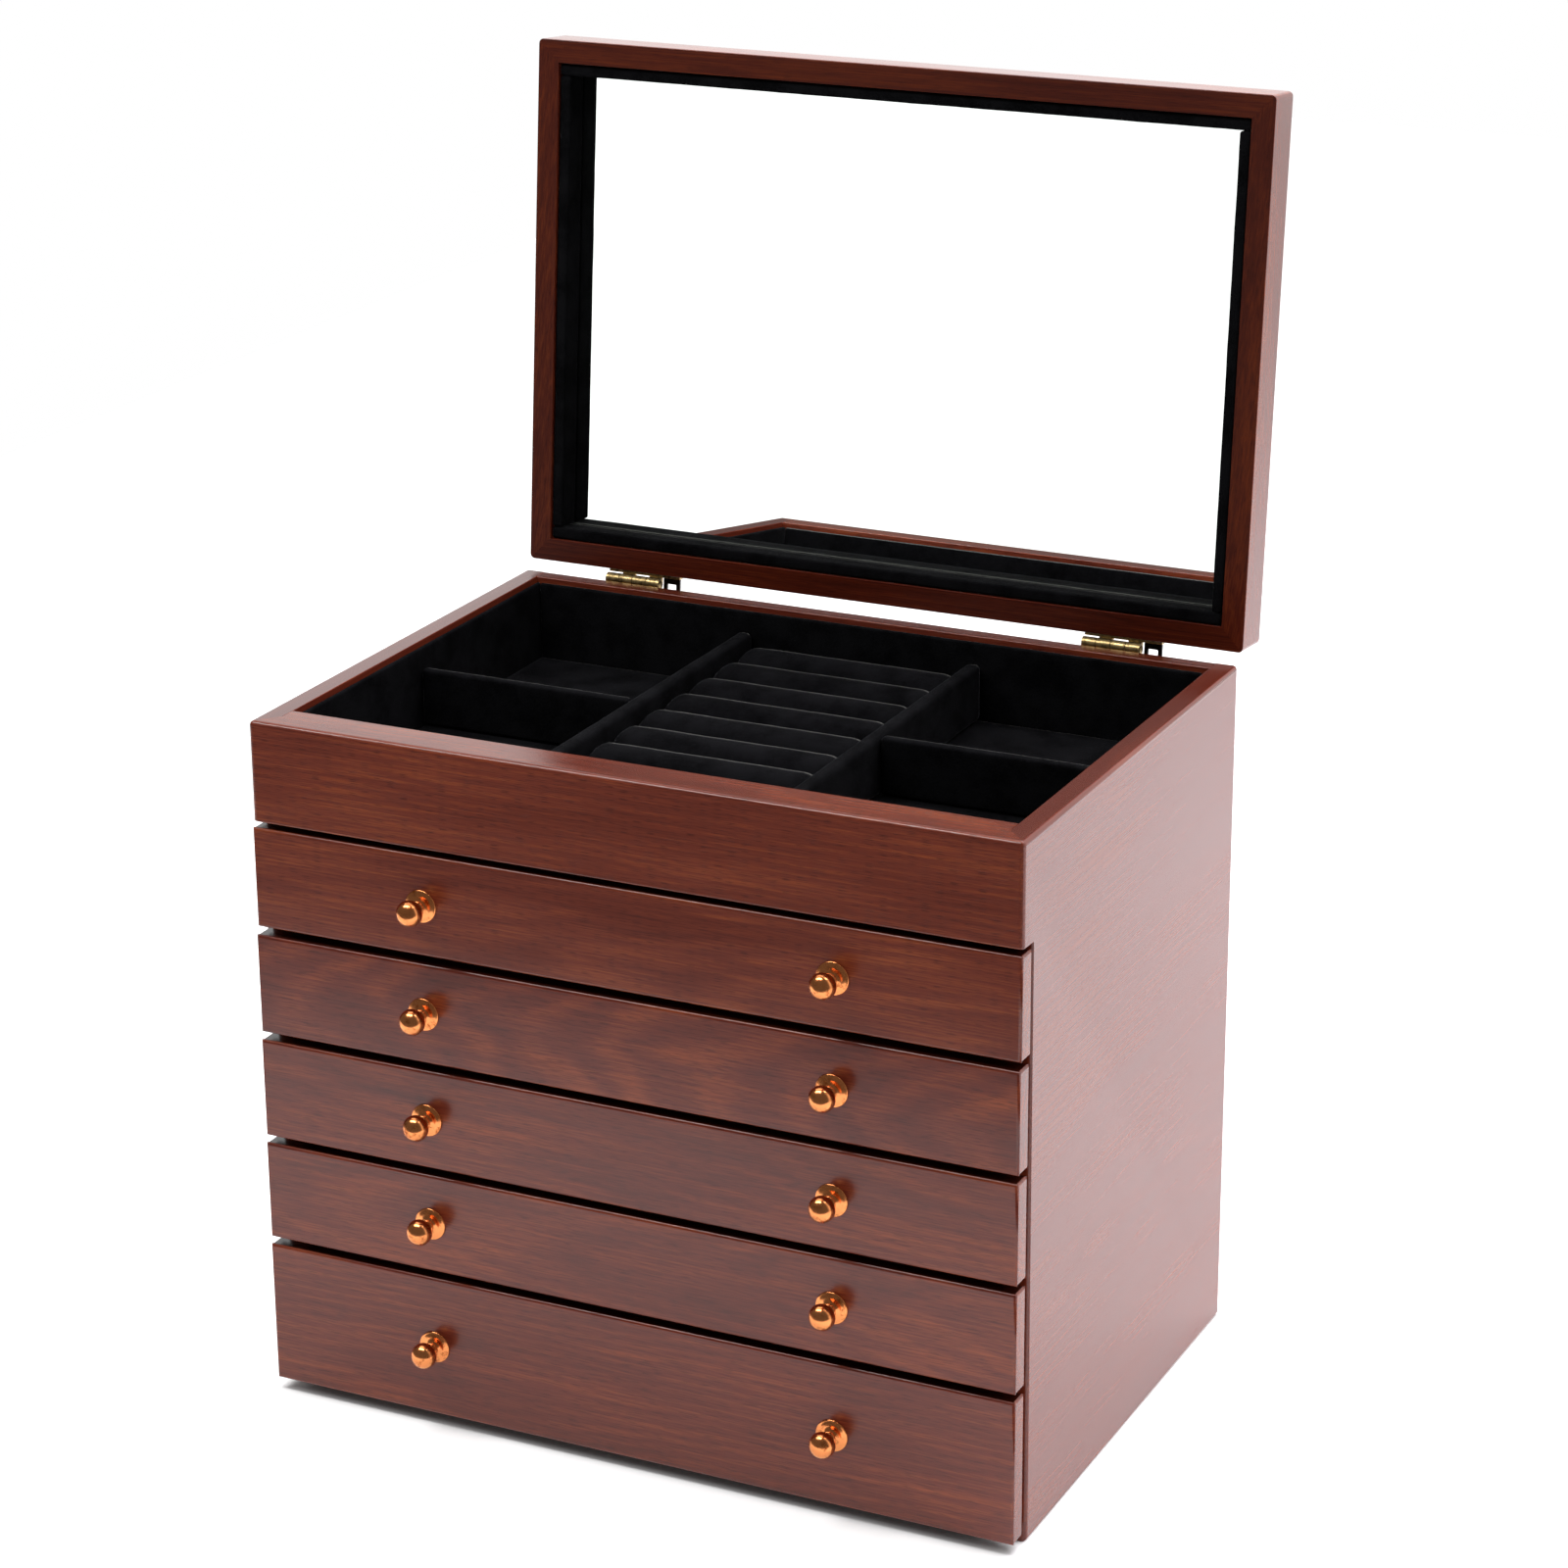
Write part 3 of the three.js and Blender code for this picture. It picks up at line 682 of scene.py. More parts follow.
def lathe(profile, segments):
    """Turns a profile of radius and length about the Y axis. Both ends of the profile lie on the axis."""
    bm = bmesh.new()
    first = bm.verts.new((0, profile[0][1], 0))
    last = bm.verts.new((0, profile[-1][1], 0))
    rings = []
    angles = [2 * math.pi * i / segments for i in range(segments)]
    for radius, length in profile[1:-1]:
        rings.append([bm.verts.new((radius * math.cos(angle), length, radius * math.sin(angle)))
                      for angle in angles])
    join_rings(bm, rings, capped=False)
    for i in range(segments):
        j = (i + 1) % segments
        bm.faces.new((first, rings[0][i], rings[0][j]))
        bm.faces.new((last, rings[-1][j], rings[-1][i]))
    bmesh.ops.recalc_face_normals(bm, faces=bm.faces)
    return bm


# ---- camera and stage ----
CAMERA_PLACE = (0.69262, -1.40441, 0.80553)
CAMERA_FORWARD = Vector((-0.40971, 0.84778, -0.33676)).normalized()
CAMERA_RIGHT = Vector((0.90147, 0.43279, -0.00721)).normalized()


class CHEST_OT_stage(bpy.types.Operator):
    """Sets up the camera, the pale table, the backdrop and the soft lights"""
    bl_idname = "chest.stage"
    bl_label = "Camera and stage"

    def execute(self, context):
        studio = settings().studio
        scene = context.scene
        scene.view_settings.view_transform = "Standard"

        lens = bpy.data.cameras.new("camera")
        lens.lens = studio.lens
        lens.sensor_width = 36
        lens.clip_start = 0.05
        camera = linked("camera", lens)
        up = CAMERA_RIGHT.cross(CAMERA_FORWARD).normalized()
        turn = Matrix((CAMERA_RIGHT, up, -CAMERA_FORWARD)).transposed().to_4x4()
        camera.matrix_world = Matrix.Translation(CAMERA_PLACE) @ turn
        scene.camera = camera

        self.add_table()
        self.add_world(scene, studio)
        self.add_area("overhead_softbox", studio.overhead, (1.0, 0.3), (-0.5, -0.42, 1.3),
                      (-0.5, -0.1, 0.1))
        self.add_area("background_lamp", studio.background_lamp, (1.2, 1.2), (0.5, 0.6, 1.5),
                      (0.4, 0.45, 0), spread=math.radians(100), colour=(1.0, 0.955, 1.02))
        return {"FINISHED"}

    def add_table(self):
        bm = bmesh.new()
        outline = [(-1.1, -0.5), (2.4, -0.5), (2.4, 2.6), (-1.1, 2.6)]
        bm.faces.new([bm.verts.new((x, y, 0)) for x, y in outline])
        material, tree, place = new_material("white_paper_table")
        fibre = object_noise(tree, place, 1.5, 2.0)
        tint = linear_remap(tree, fibre, 0.0, 1.0, 0.90, 0.93)
        # painted shadow: the table's glow fades to nothing under and just around the chest's footprint,
        # which darkens the paper there like a contact shadow
        axes = add_node(tree, "ShaderNodeSeparateXYZ", {0: place.outputs["Object"]})
        front_low, front_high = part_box(f"drawer_{DRAWERS[-1]}_front")
        beyond = [maths(tree, "SUBTRACT", maths(tree, "ABSOLUTE", axes.outputs[axis]), half)
                  for axis, half in (("X", front_high.x), ("Y", -front_low.y))]
        nearest = maths(tree, "MAXIMUM", *beyond)
        glow = remap(tree, nearest, -6 * MM, 4 * MM, 0.0, settings().studio.table_glow)
        surface(material, {
            "Base Color": tint, "Roughness": 0.8, "Specular IOR Level": 0.2, "Emission Color": (1, 1, 1, 1),
            "Emission Strength": glow})
        new_object("table", bm, material)

    def add_world(self, scene, studio):
        """Paper white to the eye. As light, bright behind and to the right, and dim behind the camera."""
        world = bpy.data.worlds.new("studio")
        scene.world = world
        world.use_nodes = True
        tree = world.node_tree
        tree.nodes.clear()
        place = add_node(tree, "ShaderNodeTexCoord")
        axes = add_node(tree, "ShaderNodeSeparateXYZ", {0: place.outputs["Generated"]})
        skew = maths(tree, "MULTIPLY_ADD", axes.outputs["X"], 0.3, axes.outputs["Y"])
        backdrop = remap(tree, skew, -0.1, 0.35, studio.dim_room, studio.backdrop)
        # a far, low, lit floor in front, which the mirror shows
        rise = remap(tree, axes.outputs["Z"], -0.17, -0.14)
        fall = remap(tree, axes.outputs["Z"], 0.03, 0.07, 1.0, 0.0)
        low_band = maths(tree, "MULTIPLY", rise, fall)
        path = add_node(tree, "ShaderNodeLightPath")
        mirrored = maths(tree, "MULTIPLY", path.outputs["Is Singular Ray"], 1.25)
        glow = maths(tree, "MULTIPLY_ADD", low_band, mirrored, backdrop)
        seen = add_node(tree, "ShaderNodeMix", {
            0: path.outputs["Is Camera Ray"], 2: glow, 3: 1.0}, data_type="FLOAT")
        light = add_node(tree, "ShaderNodeBackground", {"Color": (1, 1, 1, 1), "Strength": seen.outputs[0]})
        add_node(tree, "ShaderNodeOutputWorld", {"Surface": light.outputs[0]})

    def add_area(self, name, power, size, place, target, spread=math.pi, colour=(1, 1, 1)):
        lamp = bpy.data.lights.new(name, "AREA")
        lamp.shape = "RECTANGLE"
        lamp.size, lamp.size_y = size
        lamp.energy = power
        lamp.color = colour
        lamp.spread = spread
        obj = linked(name, lamp)
        obj.location = place
        direction = Vector(target) - Vector(place)
        obj.rotation_euler = direction.to_track_quat("-Z", "Y").to_euler()
        obj.visible_camera = False


# ---- case ----
class CHEST_OT_case(bpy.types.Operator):
    """Makes the sides, back, band above the drawers, base, tray floor and drawer shelves"""
    bl_idname = "chest.case"
    bl_label = "Case"

    def execute(self, context):
        wood = settings().wood
        for side in SIDES:
            self.side_panel(side, wood)
        self.band(wood)
        wall = board(*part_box("tray_front_wall"), wood.eased_edge, square=("-y", "-z", "-x", "+x"))
        veneered("tray_front_wall", wall, "band")
        back = board(*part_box("back_panel"), wood.eased_edge, square=("-x", "+x"))
        veneered("back_panel", back, "case_back", name="back")
        for node in ["base_board", "tray_floor"] + [f"shelf_{number}" for number in DRAWERS[:-1]]:
            wooden = board(*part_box(node), wood.eased_edge, square=("-x", "+x", "+y"))
            make_piece(f"{node}_wood", wooden, "stained_board_cross", "chest", [node])
        return {"FINISHED"}

    def side_panel(self, side, wood):
        low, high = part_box(f"side_panel_{side}")
        band_low, band_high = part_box("front_band")
        front, bay_front = low.y, band_high.y
        outline = [(bay_front, low.z), (high.y, low.z), (high.y, high.z), (front, high.z),
                   (front, band_low.z), (bay_front, band_low.z)]
        bm = prism_mesh(outline, low.x, high.x, axis=0)
        outer, inner = (low.x, high.x) if side == "left" else (high.x, low.x)
        round_edges(bm, wood.edge_radius, lambda middle, _: (on(middle.x, outer) or on(middle.y, front))
                    and not on(middle.z, band_low.z))
        round_edges(bm, wood.under_edge, lambda middle, _: on(middle.z, band_low.z)
                    and not on(middle.y, bay_front) and not on(middle.x, inner))
        round_edges(bm, wood.eased_edge,
                    lambda middle, way: on(middle.x, inner) and on(middle.z, high.z) and abs(way.y) > 0.9)
        sign = SIDES[side]
        run = Vector((abs(outer - inner), bay_front - front, 0)).normalized()
        slice_off(bm, (outer, front, 0), (-sign * run.y, -run.x, 0))
        veneered(f"side_panel_{side}", bm, "case_sides")

    def band(self, wood):
        low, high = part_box("front_band")
        inner, outer = [corner.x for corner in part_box("side_panel_right")]
        joint_gap = 0.03 * MM
        low.x, high.x = -outer, outer
        bm = board(low, high, wood.edge_radius, square=("+y", "-z"))
        round_edges(bm, wood.under_edge, lambda middle, _: on(middle.z, low.z) and not on(middle.y, high.y))
        run = Vector((outer - inner, high.y - low.y, 0)).normalized()
        for sign in SIDES.values():
            slice_off(bm, (sign * (outer - joint_gap), low.y, 0), (sign * run.y, run.x, 0))
        veneered("front_band", bm, "band")


# ---- drawers ----
class CHEST_OT_drawers(bpy.types.Operator):
    """Makes the drawer fronts, boxes and velvet linings"""
    bl_idname = "chest.drawers"
    bl_label = "Drawers"

    def execute(self, context):
        for number in DRAWERS:
            self.front(number)
            self.box(number)
            self.lining(number)
        return {"FINISHED"}

    def front(self, number):
        wood = settings().wood
        name = f"drawer_{number}_front"
        low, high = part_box(name)
        bm = box_mesh(low, high)
        round_edges(bm, wood.drawer_edge, lambda middle, _: on(middle.y, low.y))
        round_edges(bm, wood.drawer_back_radius, lambda middle, _: on(middle.y, high.y))
        round_edges(bm, wood.drawer_edge, lambda middle, way: abs(way.y) > 0.99
                    and (high.y - low.y) * 0.3 < middle.y - low.y)
        shade(bm)
        obj = new_object(f"{name}_board", bm, finish(f"mahogany_drawer_{number}"))
        hole_radius, hole_segments, depth = 2.4 * MM, 24, 7 * MM
        holes = bmesh.new()
        for side in SIDES:
            knob_low, knob_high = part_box(f"drawer_{number}_knob_{side}")
            centre = (knob_low + knob_high) / 2
            centre.y = low.y + depth / 2 - MM
            shape = Matrix.Translation(centre) @ Matrix.Rotation(math.pi / 2, 4, "X")
            bmesh.ops.create_cone(holes, cap_ends=True, segments=hole_segments, radius1=hole_radius,
                                  radius2=hole_radius, depth=depth + 2 * MM, matrix=shape)
        cutter = carve(obj, holes, "stud_holes")
        normals = obj.modifiers.new("face_normals", "WEIGHTED_NORMAL")
        normals.weight = 100
        settled(obj)
        bpy.data.objects.remove(cutter)
        place_piece(obj, f"drawer_{number}", [name])

    def box(self, number):
        name = f"drawer_{number}_box"
        walls = open_box(*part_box(name), wall=6 * MM, floor=3 * MM, gap=0.02 * MM)
        boards = [board(low, high, settings().wood.eased_edge) for low, high in walls]
        make_piece(f"{name}_boards", join_meshes(boards), "stained_board_deep", f"drawer_{number}",
                   [name])

    def lining(self, number):
        name = f"drawer_{number}_lining"
        velveted(name, velvet_box(*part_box(name), 1.2 * MM, 1.2 * MM, 0.55 * MM), f"drawer_{number}")


def open_box(low, high, wall, floor, gap):
    """The boards of an open box: two sides, two ends between them, and the floor between those."""
    inset = wall + gap
    return [
        ((low.x, low.y, low.z), (low.x + wall, high.y, high.z)),
        ((high.x - wall, low.y, low.z), (high.x, high.y, high.z)),
        ((low.x + inset, low.y, low.z), (high.x - inset, low.y + wall, high.z)),
        ((low.x + inset, high.y - wall, low.z), (high.x - inset, high.y, high.z)),
        ((low.x + inset, low.y + inset, low.z), (high.x - inset, high.y - inset, low.z + floor)),
    ]


def velvet_box(low, high, wall, floor, radius):
    """An open box lined with five velvet-covered cards."""
    return join_meshes([soft_board(a, b, radius) for a, b in open_box(low, high, wall, floor, 0.05 * MM)])


class CHEST_OT_knobs(bpy.types.Operator):
    """Makes the turned copper knobs"""
    bl_idname = "chest.knobs"
    bl_label = "Knobs"

    def execute(self, context):
        for number in DRAWERS:
            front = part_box(f"drawer_{number}_front")[0].y
            for side in SIDES:
                node = f"drawer_{number}_knob_{side}"
                low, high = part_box(node)
                bm = lathe(self.profile(), segments=48)
                bm.transform(Matrix.Translation(((low.x + high.x) / 2, front, (low.z + high.z) / 2)))
                make_piece(f"{node}_turned", bm, "antique_copper", f"drawer_{number}", [node],
                           flat=False)
        return {"FINISHED"}

    def profile(self):
        """Radius and length from the face of the drawer, with the ball towards -Y."""
        stud_radius, stud_length = 2.0, 6.0
        foot_radius, foot_rim, foot_edge = 6.6, 0.35, 0.45
        neck_radius, collar_radius, collar_place, collar_half = 2.5, 3.3, 3.9, 0.45
        ball_radius, ball_half_length, ball_centre = 5.2, 4.7, 8.8
        points = [(0, -stud_length), (stud_radius, -stud_length), (stud_radius, 0), (foot_radius - 0.15, 0)]
        for i in range(5):
            angle = math.pi / 2 * i / 4
            points.append((foot_radius - foot_edge * (1 - math.cos(angle)),
                           foot_rim + foot_edge * math.sin(angle)))
        points += [(foot_radius - 1.1, 0.98), (foot_radius - 1.35, 1.15), (4.2, 1.3), (3.2, 1.6)]
        points += [(neck_radius, 2.1), (neck_radius, 3.2), (neck_radius + 0.3, 3.4)]
        for i in range(6):
            angle = math.pi * (i / 5 - 0.5)
            points.append((collar_radius - collar_half + collar_half * math.cos(angle),
                           collar_place + collar_half * math.sin(angle)))
        first = math.asin(neck_radius / ball_radius)
        steps = 22
        for i in range(steps + 1):
            angle = first + (math.pi - first) * i / steps
            radius = 0 if i == steps else ball_radius * math.sin(angle)
            points.append((radius, ball_centre - ball_half_length * math.cos(angle)))
        return [(radius * MM, -length * MM) for radius, length in points]


# ---- tray ----
class CHEST_OT_tray(bpy.types.Operator):
    """Makes the velvet lining and the dividers of the tray"""
    bl_idname = "chest.tray"
    bl_label = "Tray"

    def execute(self, context):
        velvet = settings().velvet
        lining = velvet_box(*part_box("tray_lining"), 2.2 * MM, 3 * MM, velvet.wrap_radius)
        velveted("tray_lining", lining)
        for side in SIDES:
            for kind, radius in (("long", 2.2 * MM), ("cross", 1.5 * MM)):
                node = f"{kind}_divider_{side}"
                velveted(node, soft_board(*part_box(node), radius, step=1.6 * MM))
        return {"FINISHED"}


class CHEST_OT_ring_rolls(bpy.types.Operator):
    """Makes the row of velvet ring rolls with Geometry Nodes"""
    bl_idname = "chest.ring_rolls"
    bl_label = "Ring rolls"

    def execute(self, context):
        pitch = settings().velvet.roll_pitch
        velvet = finish("cotton_velvet")
        low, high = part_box("ring_roll_pad")
        count = int((high.y - low.y) / pitch)
        roll = new_object("one_ring_roll", self.roll(low, high, pitch), velvet)
        start = bmesh.new()
        start.verts.new((0, high.y, 0))
        row = new_object("ring_rolls", start, velvet)
        grow(row, repeat_along_tree("ring roll row"), {
            "Object": roll, "Count": count, "Step": (0, -pitch, 0), "Material": velvet})
        rest = high.y - count * pitch - low.y
        last = self.roll(low, high, rest)
        last.transform(Matrix.Translation((0, low.y + rest, 0)))
        whole = bmesh.new()
        whole.from_mesh(row.data)
        bpy.data.objects.remove(row)
        bpy.data.objects.remove(roll)
        pad = make_piece("ring_rolls_velvet", join_meshes([whole, last]), "cotton_velvet", "chest",
                         ["ring_roll_pad"], flat=False)
        return {"FINISHED"}

    def roll(self, low, high, pitch):
        """One foam roll wrapped in velvet, from y = 0 towards -y, with ends that round over."""
        crown_depth, end_round, step = 12 * MM, 7 * MM, 3 * MM
        arc_steps, end_steps = 16, 6
        end_height, squareness = 0.45, 2.3
        gap = 0.12 * MM
        half = pitch / 2 - gap
        crown_depth *= min(1, pitch / settings().velvet.roll_pitch + 0.25)
        ends = [(distance, 1 - (1 - end_height) * drop / end_round)
                for distance, drop in rounding(end_round, end_steps)]
        straight = high.x - low.x - 2 * end_round
        count = int(straight / step)
        rows = [(low.x + distance, share) for distance, share in ends]
        rows += [(low.x + end_round + straight * i / count, 1) for i in range(count + 1)]
        rows += [(high.x - distance, share) for distance, share in reversed(ends)]
        bm = bmesh.new()
        rings = []
        for x, share in rows:
            ring = [bm.verts.new((x, -pitch / 2 + way * half, low.z)) for way in (1, -1)]
            for i in range(arc_steps + 1):
                across = -math.cos(math.pi * i / arc_steps)
                rise = max(0, 1 - abs(across) ** squareness) ** 0.5
                height = high.z - crown_depth * (1 - rise * share)
                ring.append(bm.verts.new((x, -pitch / 2 + across * half, height)))
            rings.append(ring)
        join_rings(bm, rings)
        ruffle(bm, settings().velvet.unevenness * 1.6)
        return bm


SOCKETS = {"Geometry": "Geometry", "Object": "Object", "Count": "Int", "Seed": "Int", "Step": "Vector",
           "Material": "Material"}


def open_tree(name, *inputs):
    """A Geometry Nodes tree with these inputs, and the node that gives them."""
    tree = bpy.data.node_groups.new(name, "GeometryNodeTree")
    for label in inputs:
        tree.interface.new_socket(label, in_out="INPUT", socket_type=f"NodeSocket{SOCKETS[label]}")
    tree.interface.new_socket("Geometry", in_out="OUTPUT", socket_type="NodeSocketGeometry")
    return tree, add_node(tree, "NodeGroupInput")


def copy_onto(tree, given, points, **turn):
    """Ends a tree: copies the given object onto points, as real geometry in the given material."""
    model = add_node(tree, "GeometryNodeObjectInfo", {"Object": given.outputs["Object"]})
    copies = add_node(tree, "GeometryNodeInstanceOnPoints", {
        "Points": points, "Instance": model.outputs["Geometry"], **turn})
    real = add_node(tree, "GeometryNodeRealizeInstances", {"Geometry": copies.outputs[0]})
    dressed = add_node(tree, "GeometryNodeSetMaterial", {
        "Geometry": real.outputs[0], "Material": given.outputs["Material"]})
    add_node(tree, "NodeGroupOutput", {"Geometry": dressed.outputs[0]})
    return tree


def repeat_along_tree(name):
    """Geometry Nodes: copies an object along a straight row that starts at the mesh's own point."""
    tree, given = open_tree(name, "Geometry", "Object", "Count", "Step", "Material")
    at = add_node(tree, "GeometryNodeInputPosition")
    start = add_node(tree, "GeometryNodeSampleIndex", {
        "Geometry": given.outputs["Geometry"], "Value": at.outputs[0]}, data_type="FLOAT_VECTOR")
    row = add_node(tree, "GeometryNodeMeshLine", {
        "Count": given.outputs["Count"], "Start Location": start.outputs[0],
        "Offset": given.outputs["Step"]})
    return copy_onto(tree, given, row.outputs[0])


def grow(obj, tree, values):
    """Runs a Geometry Nodes tree on an object with its named inputs, and leaves a plain mesh."""
    modifier = obj.modifiers.new(tree.name, "NODES")
    modifier.node_group = tree
    for item in tree.interface.items_tree:
        if item.item_type == "SOCKET" and item.in_out == "INPUT" and item.name in values:
            modifier[item.identifier] = values[item.name]
    settled(obj)


# ---- lid ----
class CHEST_OT_lid(bpy.types.Operator):
    """Makes the lid's mitred rails, top panel, mirror and velvet frame"""
    bl_idname = "chest.lid"
    bl_label = "Lid"

    def execute(self, context):
        wood = settings().wood
        low, left_high = shut_box("lid_rail_left")
        _, high = shut_box("lid_rail_right")
        width = left_high.x - low.x
        for side, axis, sign in (("front", 1, -1), ("back", 1, 1), ("left", 0, -1), ("right", 0, 1)):
            self.rail(side, axis, sign, low, high, width)
        panel = board(*shut_box("lid_panel"), wood.eased_edge)
        veneered("lid_panel", opened(panel), "lid_panel", "lid")
        glass = board(*shut_box("mirror"), 0.4 * MM)
        make_piece("mirror_glass", opened(glass), "silvered_glass", "lid", ["mirror"])
        self.lining()
        return {"FINISHED"}

    def rail(self, side, axis, sign, low, high, width):
        """A mitred rail at one end of an axis: outer edges rounded, and a chamfer on the inner rim edge."""
        wood = settings().wood
        along = 1 - axis
        chamfer, joint_gap = 0.6 * MM, 0.03 * MM if axis == 1 else 0
        start, end = low.copy(), high.copy()
        outer = (low if sign < 0 else high)[axis]
        inner = outer - sign * width
        start[axis], end[axis] = sorted((outer, inner))
        bm = box_mesh(start, end)
        round_edges(bm, wood.edge_radius, lambda middle, _: not on(middle[axis], inner)
                    and not on(middle.z, low.z))
        round_edges(bm, wood.eased_edge, lambda middle, _: not on(middle[axis], inner)
                    and on(middle.z, low.z))
        round_edges(bm, chamfer, lambda middle, way: on(middle[axis], inner)
                    and on(middle.z, low.z) and abs(way[along]) > 0.9, segments=1)
        for way in (-1, 1):
            corner, normal = Vector(), Vector()
            corner[axis], corner[along] = outer, (high if way > 0 else low)[along] - way * joint_gap
            normal[axis], normal[along] = -sign, way
            slice_off(bm, corner, normal)
        node = f"lid_rail_{side}"
        veneered(node, opened(bm), "lid_cross_rails" if axis == 1 else "lid_long_rails", "lid")

    def lining(self):
        low, high = shut_box("lid_lining")
        strip, gap = 4.9 * MM, 0.05 * MM
        inset = strip + gap
        strips = [
            ((low.x, low.y, low.z), (high.x, low.y + strip, high.z)),
            ((low.x, high.y - strip, low.z), (high.x, high.y, high.z)),
            ((low.x, low.y + inset, low.z), (low.x + strip, high.y - inset, high.z)),
            ((high.x - strip, low.y + inset, low.z), (high.x, high.y - inset, high.z)),
        ]
        strips = [soft_board(a, b, settings().velvet.wrap_radius, step=2 * MM) for a, b in strips]
        velveted("lid_lining", opened(join_meshes(strips)), "lid")


# ---- hinges ----
class CHEST_OT_hinges(bpy.types.Operator):
    """Makes the two stop hinges with their pins and screws"""
    bl_idname = "chest.hinges"
    bl_label = "Hinges"

    sheet = 1.2 * MM
    barrel = 2.5 * MM
    knuckles = 4
    pin_head = 0.4 * MM

    def execute(self, context):
        pin_clearance, root_overlap = 0.3 * MM, 0.05 * MM
        heads = {"chest": [], "lid": []}
        for side in SIDES:
            low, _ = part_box(f"hinge_leaf_carcass_{side}")
            start, plate_back = low.x, low.y
            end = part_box(f"hinge_pin_{side}")[1].x - self.pin_head
            knuckle = (end - start) / self.knuckles
            for body, up in (("chest", -1), ("lid", 1)):
                node = f"hinge_leaf_{'lid' if up > 0 else 'carcass'}_{side}"
                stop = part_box(node)[1].x - end
                bm, screws = self.leaf(start, knuckle, up, plate_back, stop)
                heads[body] += screws
                if up > 0:
                    opened(bm)
                make_piece(f"{node}_brass", bm, "antique_brass", body, [node])
            arch = self.stop_arch(end + self.pin_head + pin_clearance, end + stop,
                                  plate_back + self.sheet - root_overlap)
            # the stop arch gets the near-black copy of the brass, as painted shade
            make_piece(f"hinge_stop_{side}_arch", opened(arch), "blackened_brass", "lid")
            self.pin(side)
        screw = self.screw()
        tree = scatter_tree("hinge screws")
        for body, points in heads.items():
            bm = bmesh.new()
            for point in points:
                bm.verts.new(point)
            obj = new_object(f"hinge_screws_{body}", bm, finish("antique_brass"))
            grow(obj, tree, {"Object": screw, "Seed": 4, "Material": finish("antique_brass")})
            if body == "lid":
                opened(obj.data)
            place_piece(obj, body)
        bpy.data.objects.remove(screw)
        return {"FINISHED"}

    def leaf(self, start, knuckle, up, plate_back, stop):
        """One leaf as it lies with the lid shut, and where its screws go."""
        leaf_height, clearance, screw_drop = 15 * MM, 0.1 * MM, 1.5 * MM
        plate_front = plate_back + self.sheet - clearance
        near = LID_AXIS.z + up * (self.barrel - self.sheet)
        far = near + up * leaf_height
        end = start + knuckle * self.knuckles
        edge, gap = 0.25 * MM, 0.15 * MM
        bottom, top = sorted((near, far))
        parts = [board((start, plate_back, bottom), (end + stop, plate_front, top), edge)]
        for index in range(1 if up > 0 else 0, self.knuckles, 2):
            left = start + index * knuckle
            eye = self.rolled_eye(up, plate_front)
            parts.append(prism_mesh(eye, left + gap, left + knuckle - gap, axis=0))
        bm = join_meshes(parts)
        screw_z = (near + far) / 2 + up * screw_drop
        screws = [(start + share * (end - start), plate_front, screw_z) for share in (0.2, 0.8)]
        return bm, screws

    def rolled_eye(self, up, plate_front):
        """The leaf's sheet bent out and rolled round the pin, as an outline in Y and Z."""
        outer, inner = self.barrel, self.barrel - self.sheet
        last, steps = math.radians(200), 22
        first = -math.pi / 2
        angles = [first + (last - first) * i / steps for i in range(steps + 1)]
        outline = [(plate_front - LID_AXIS.y, -outer)]
        outline += [(outer * math.cos(angle), outer * math.sin(angle)) for angle in angles]
        outline += [(inner * math.cos(angle), inner * math.sin(angle)) for angle in reversed(angles)]
        outline.append((plate_front - LID_AXIS.y, -inner))
        return [(LID_AXIS.y + y, LID_AXIS.z - up * z) for y, z in outline]

    def stop_arch(self, left, right, root):
        """The strip that holds the lid open: a flat arch with two legs that stands out from the leaf."""
        post, solid, corner = 1.6 * MM, 2.2 * MM, 0.5 * MM
        end, top = LID_AXIS.y + 2.2 * MM, LID_AXIS.z + self.barrel
        outline = [(left, root), (left, end), (left + post, end), (left + post, root + solid),
                   (right - post, root + solid), (right - post, end), (right, end), (right, root)]
        bm = prism_mesh(outline, top - self.sheet, top, axis=2)
        round_edges(bm, corner, lambda middle, way: abs(way.z) > 0.9 and not on(middle.y, root))
        return bm

    def pin(self, side):
        node = f"hinge_pin_{side}"
        low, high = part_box(node)
        radius, head, head_length = 0.9, 1.7, self.pin_head / MM
        length = (high.x - low.x) / MM
        profile = [(0, 0), (head * 0.6, 0.05), (head * 0.92, 0.2), (head, head_length - 0.1),
                   (head - 0.1, head_length), (radius, head_length), (radius, length - head_length),
                   (head - 0.1, length - head_length), (head, length - head_length + 0.1),
                   (head * 0.92, length - 0.2), (head * 0.6, length - 0.05), (0, length)]
        bm = lathe([(r * MM, l * MM) for r, l in profile], segments=24)
        bm.transform(Matrix.Rotation(-math.pi / 2, 4, "Z"))
        bm.transform(Matrix.Translation((low.x, LID_AXIS.y, LID_AXIS.z)))
        make_piece(f"{node}_brass", bm, "antique_brass", "chest", [node])

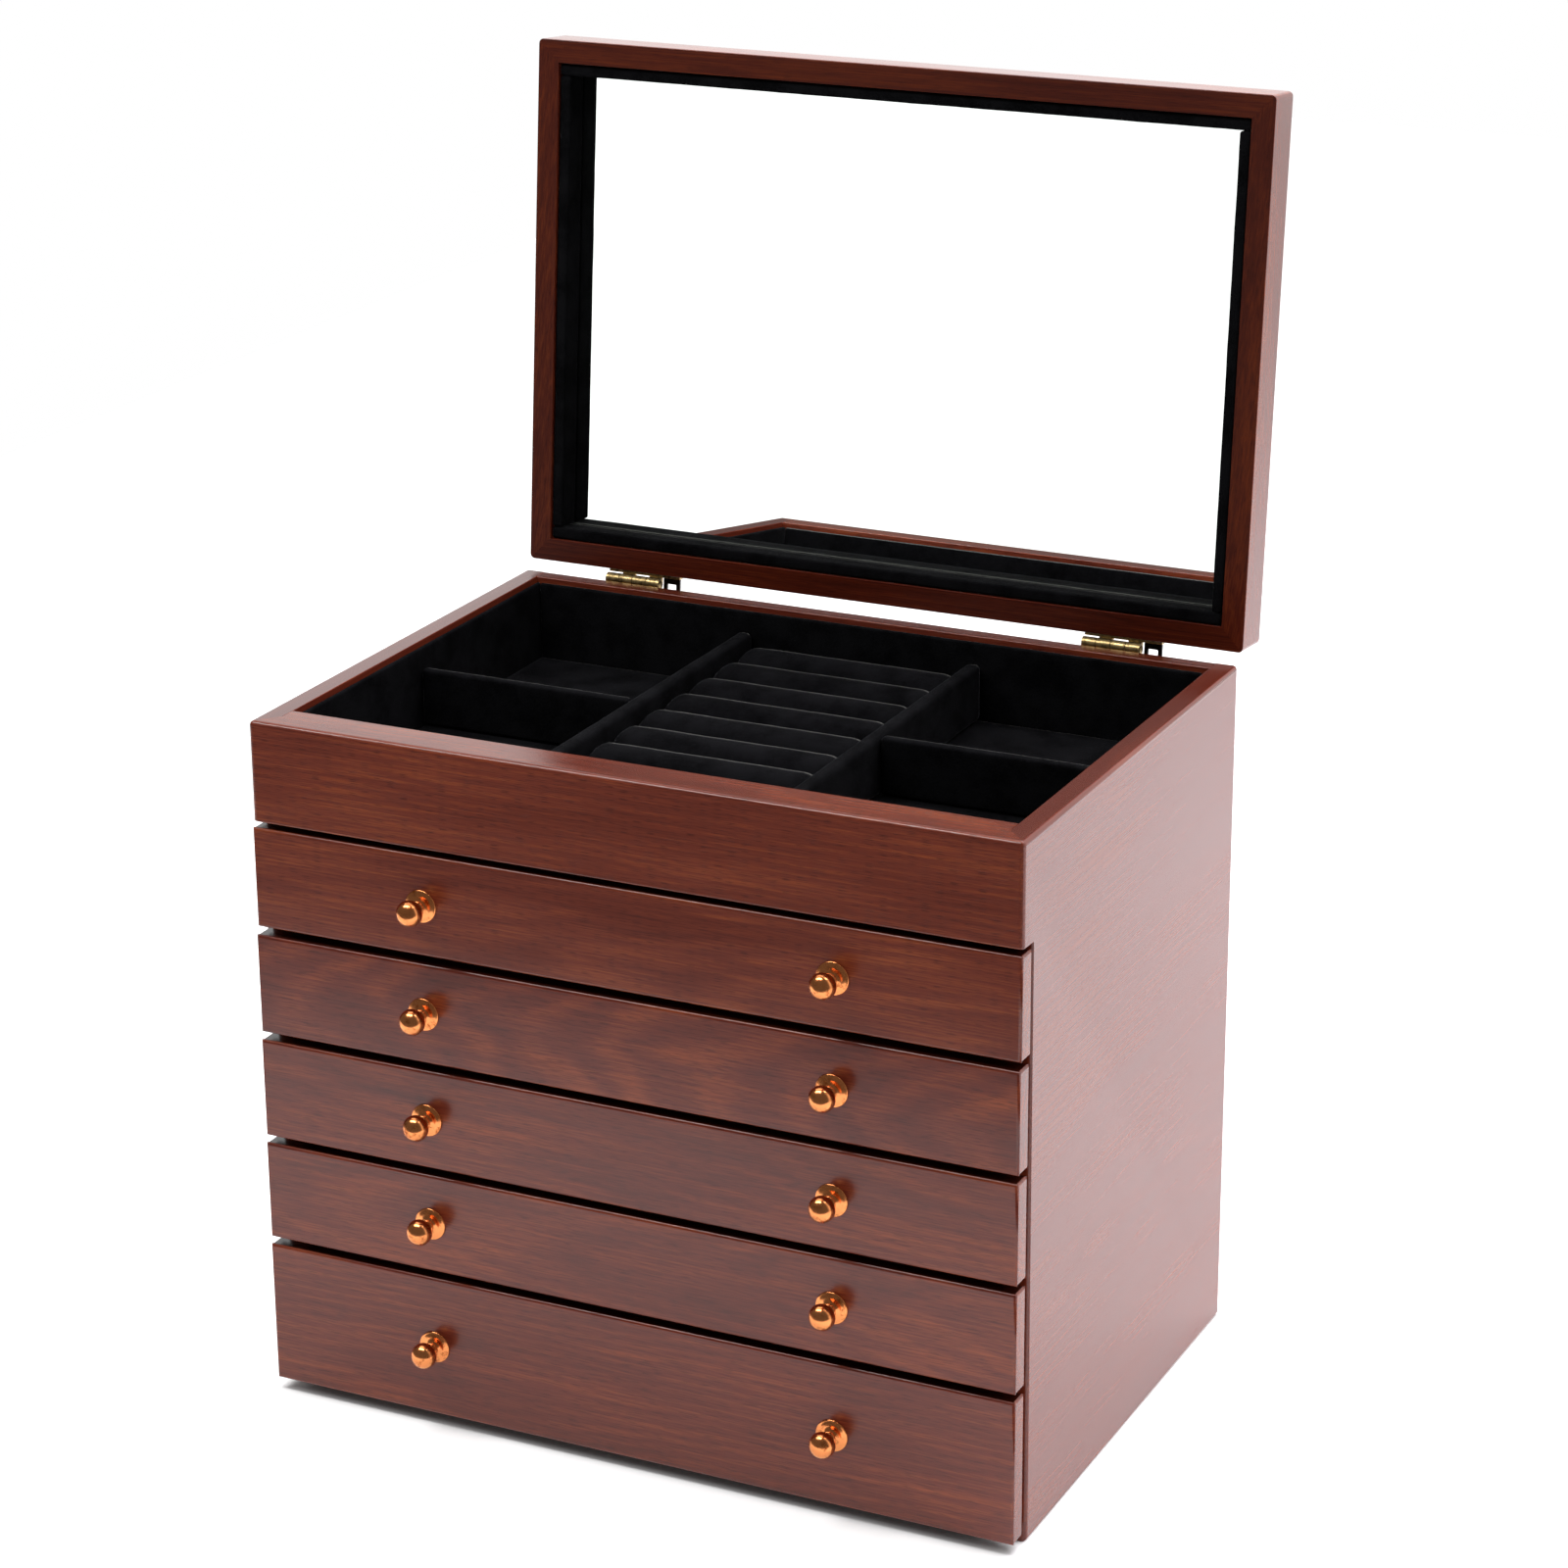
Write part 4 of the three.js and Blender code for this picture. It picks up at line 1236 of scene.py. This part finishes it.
    def screw(self):
        """A small slotted countersunk head, its underside on y = 0 and its dome towards +Y."""
        head, rim, dome, shank, steps = 2.4, 0.1, 0.55, 1.2, 6
        angles = [math.pi / 2 * i / steps for i in range(steps)]
        profile = [(0, -0.3), (shank, -0.3), (head - 0.1, 0)]
        profile += [(head * math.cos(angle), rim + dome * math.sin(angle)) for angle in angles]
        profile.append((0, rim + dome))
        obj = new_object("one_screw", lathe([(r * MM, l * MM) for r, l in profile], segments=28),
                         finish("antique_brass"))
        slot = box_mesh((-3 * MM, 0.35 * MM, -0.25 * MM), (3 * MM, 2 * MM, 0.25 * MM))
        cutter = carve(obj, slot, "screw_slot")
        settled(obj)
        bpy.data.objects.remove(cutter)
        return obj


def scatter_tree(name):
    """Geometry Nodes: puts an object on each point of a mesh, turned at random about Y."""
    most = 1.2
    tree, given = open_tree(name, "Geometry", "Object", "Seed", "Material")
    turn = add_node(tree, "FunctionNodeRandomValue", {
        0: (0, -most, 0), 1: (0, most, 0), "Seed": given.outputs["Seed"]}, data_type="FLOAT_VECTOR")
    spin = add_node(tree, "FunctionNodeEulerToRotation", {0: turn.outputs[0]})
    return copy_onto(tree, given, given.outputs["Geometry"], Rotation=spin.outputs[0])


class CHEST_PT_panel(bpy.types.Panel):
    """Lists the steps that build the chest"""
    bl_idname = "CHEST_PT_panel"
    bl_label = "Jewellery chest"
    bl_space_type = "VIEW_3D"
    bl_region_type = "UI"
    bl_category = "Chest"

    def draw(self, context):
        for operator in OPERATORS:
            self.layout.operator(operator.bl_idname)
        chest = context.scene.jewellery_chest
        for group in (chest.wood, chest.velvet, chest.metal, chest.studio):
            for name in group.bl_rna.properties.keys():
                if name not in ("rna_type", "name"):
                    self.layout.prop(group, name)


OPERATORS = (CHEST_OT_stage, CHEST_OT_case, CHEST_OT_drawers, CHEST_OT_knobs, CHEST_OT_tray,
             CHEST_OT_ring_rolls, CHEST_OT_lid, CHEST_OT_hinges)
CLASSES = (WoodSettings, VelvetSettings, MetalSettings, StudioSettings, ChestSettings, *OPERATORS,
           CHEST_PT_panel)


def register():
    for cls in CLASSES:
        bpy.utils.register_class(cls)
    bpy.types.Scene.jewellery_chest = bpy.props.PointerProperty(type=ChestSettings)


def unregister():
    del bpy.types.Scene.jewellery_chest
    for cls in reversed(CLASSES):
        bpy.utils.unregister_class(cls)


def main():
    register()
    bpy.ops.chest.stage()
    bpy.ops.chest.case()
    bpy.ops.chest.drawers()
    bpy.ops.chest.knobs()
    bpy.ops.chest.tray()
    bpy.ops.chest.ring_rolls()
    bpy.ops.chest.lid()
    bpy.ops.chest.hinges()


if __name__ == "__main__":
    main()
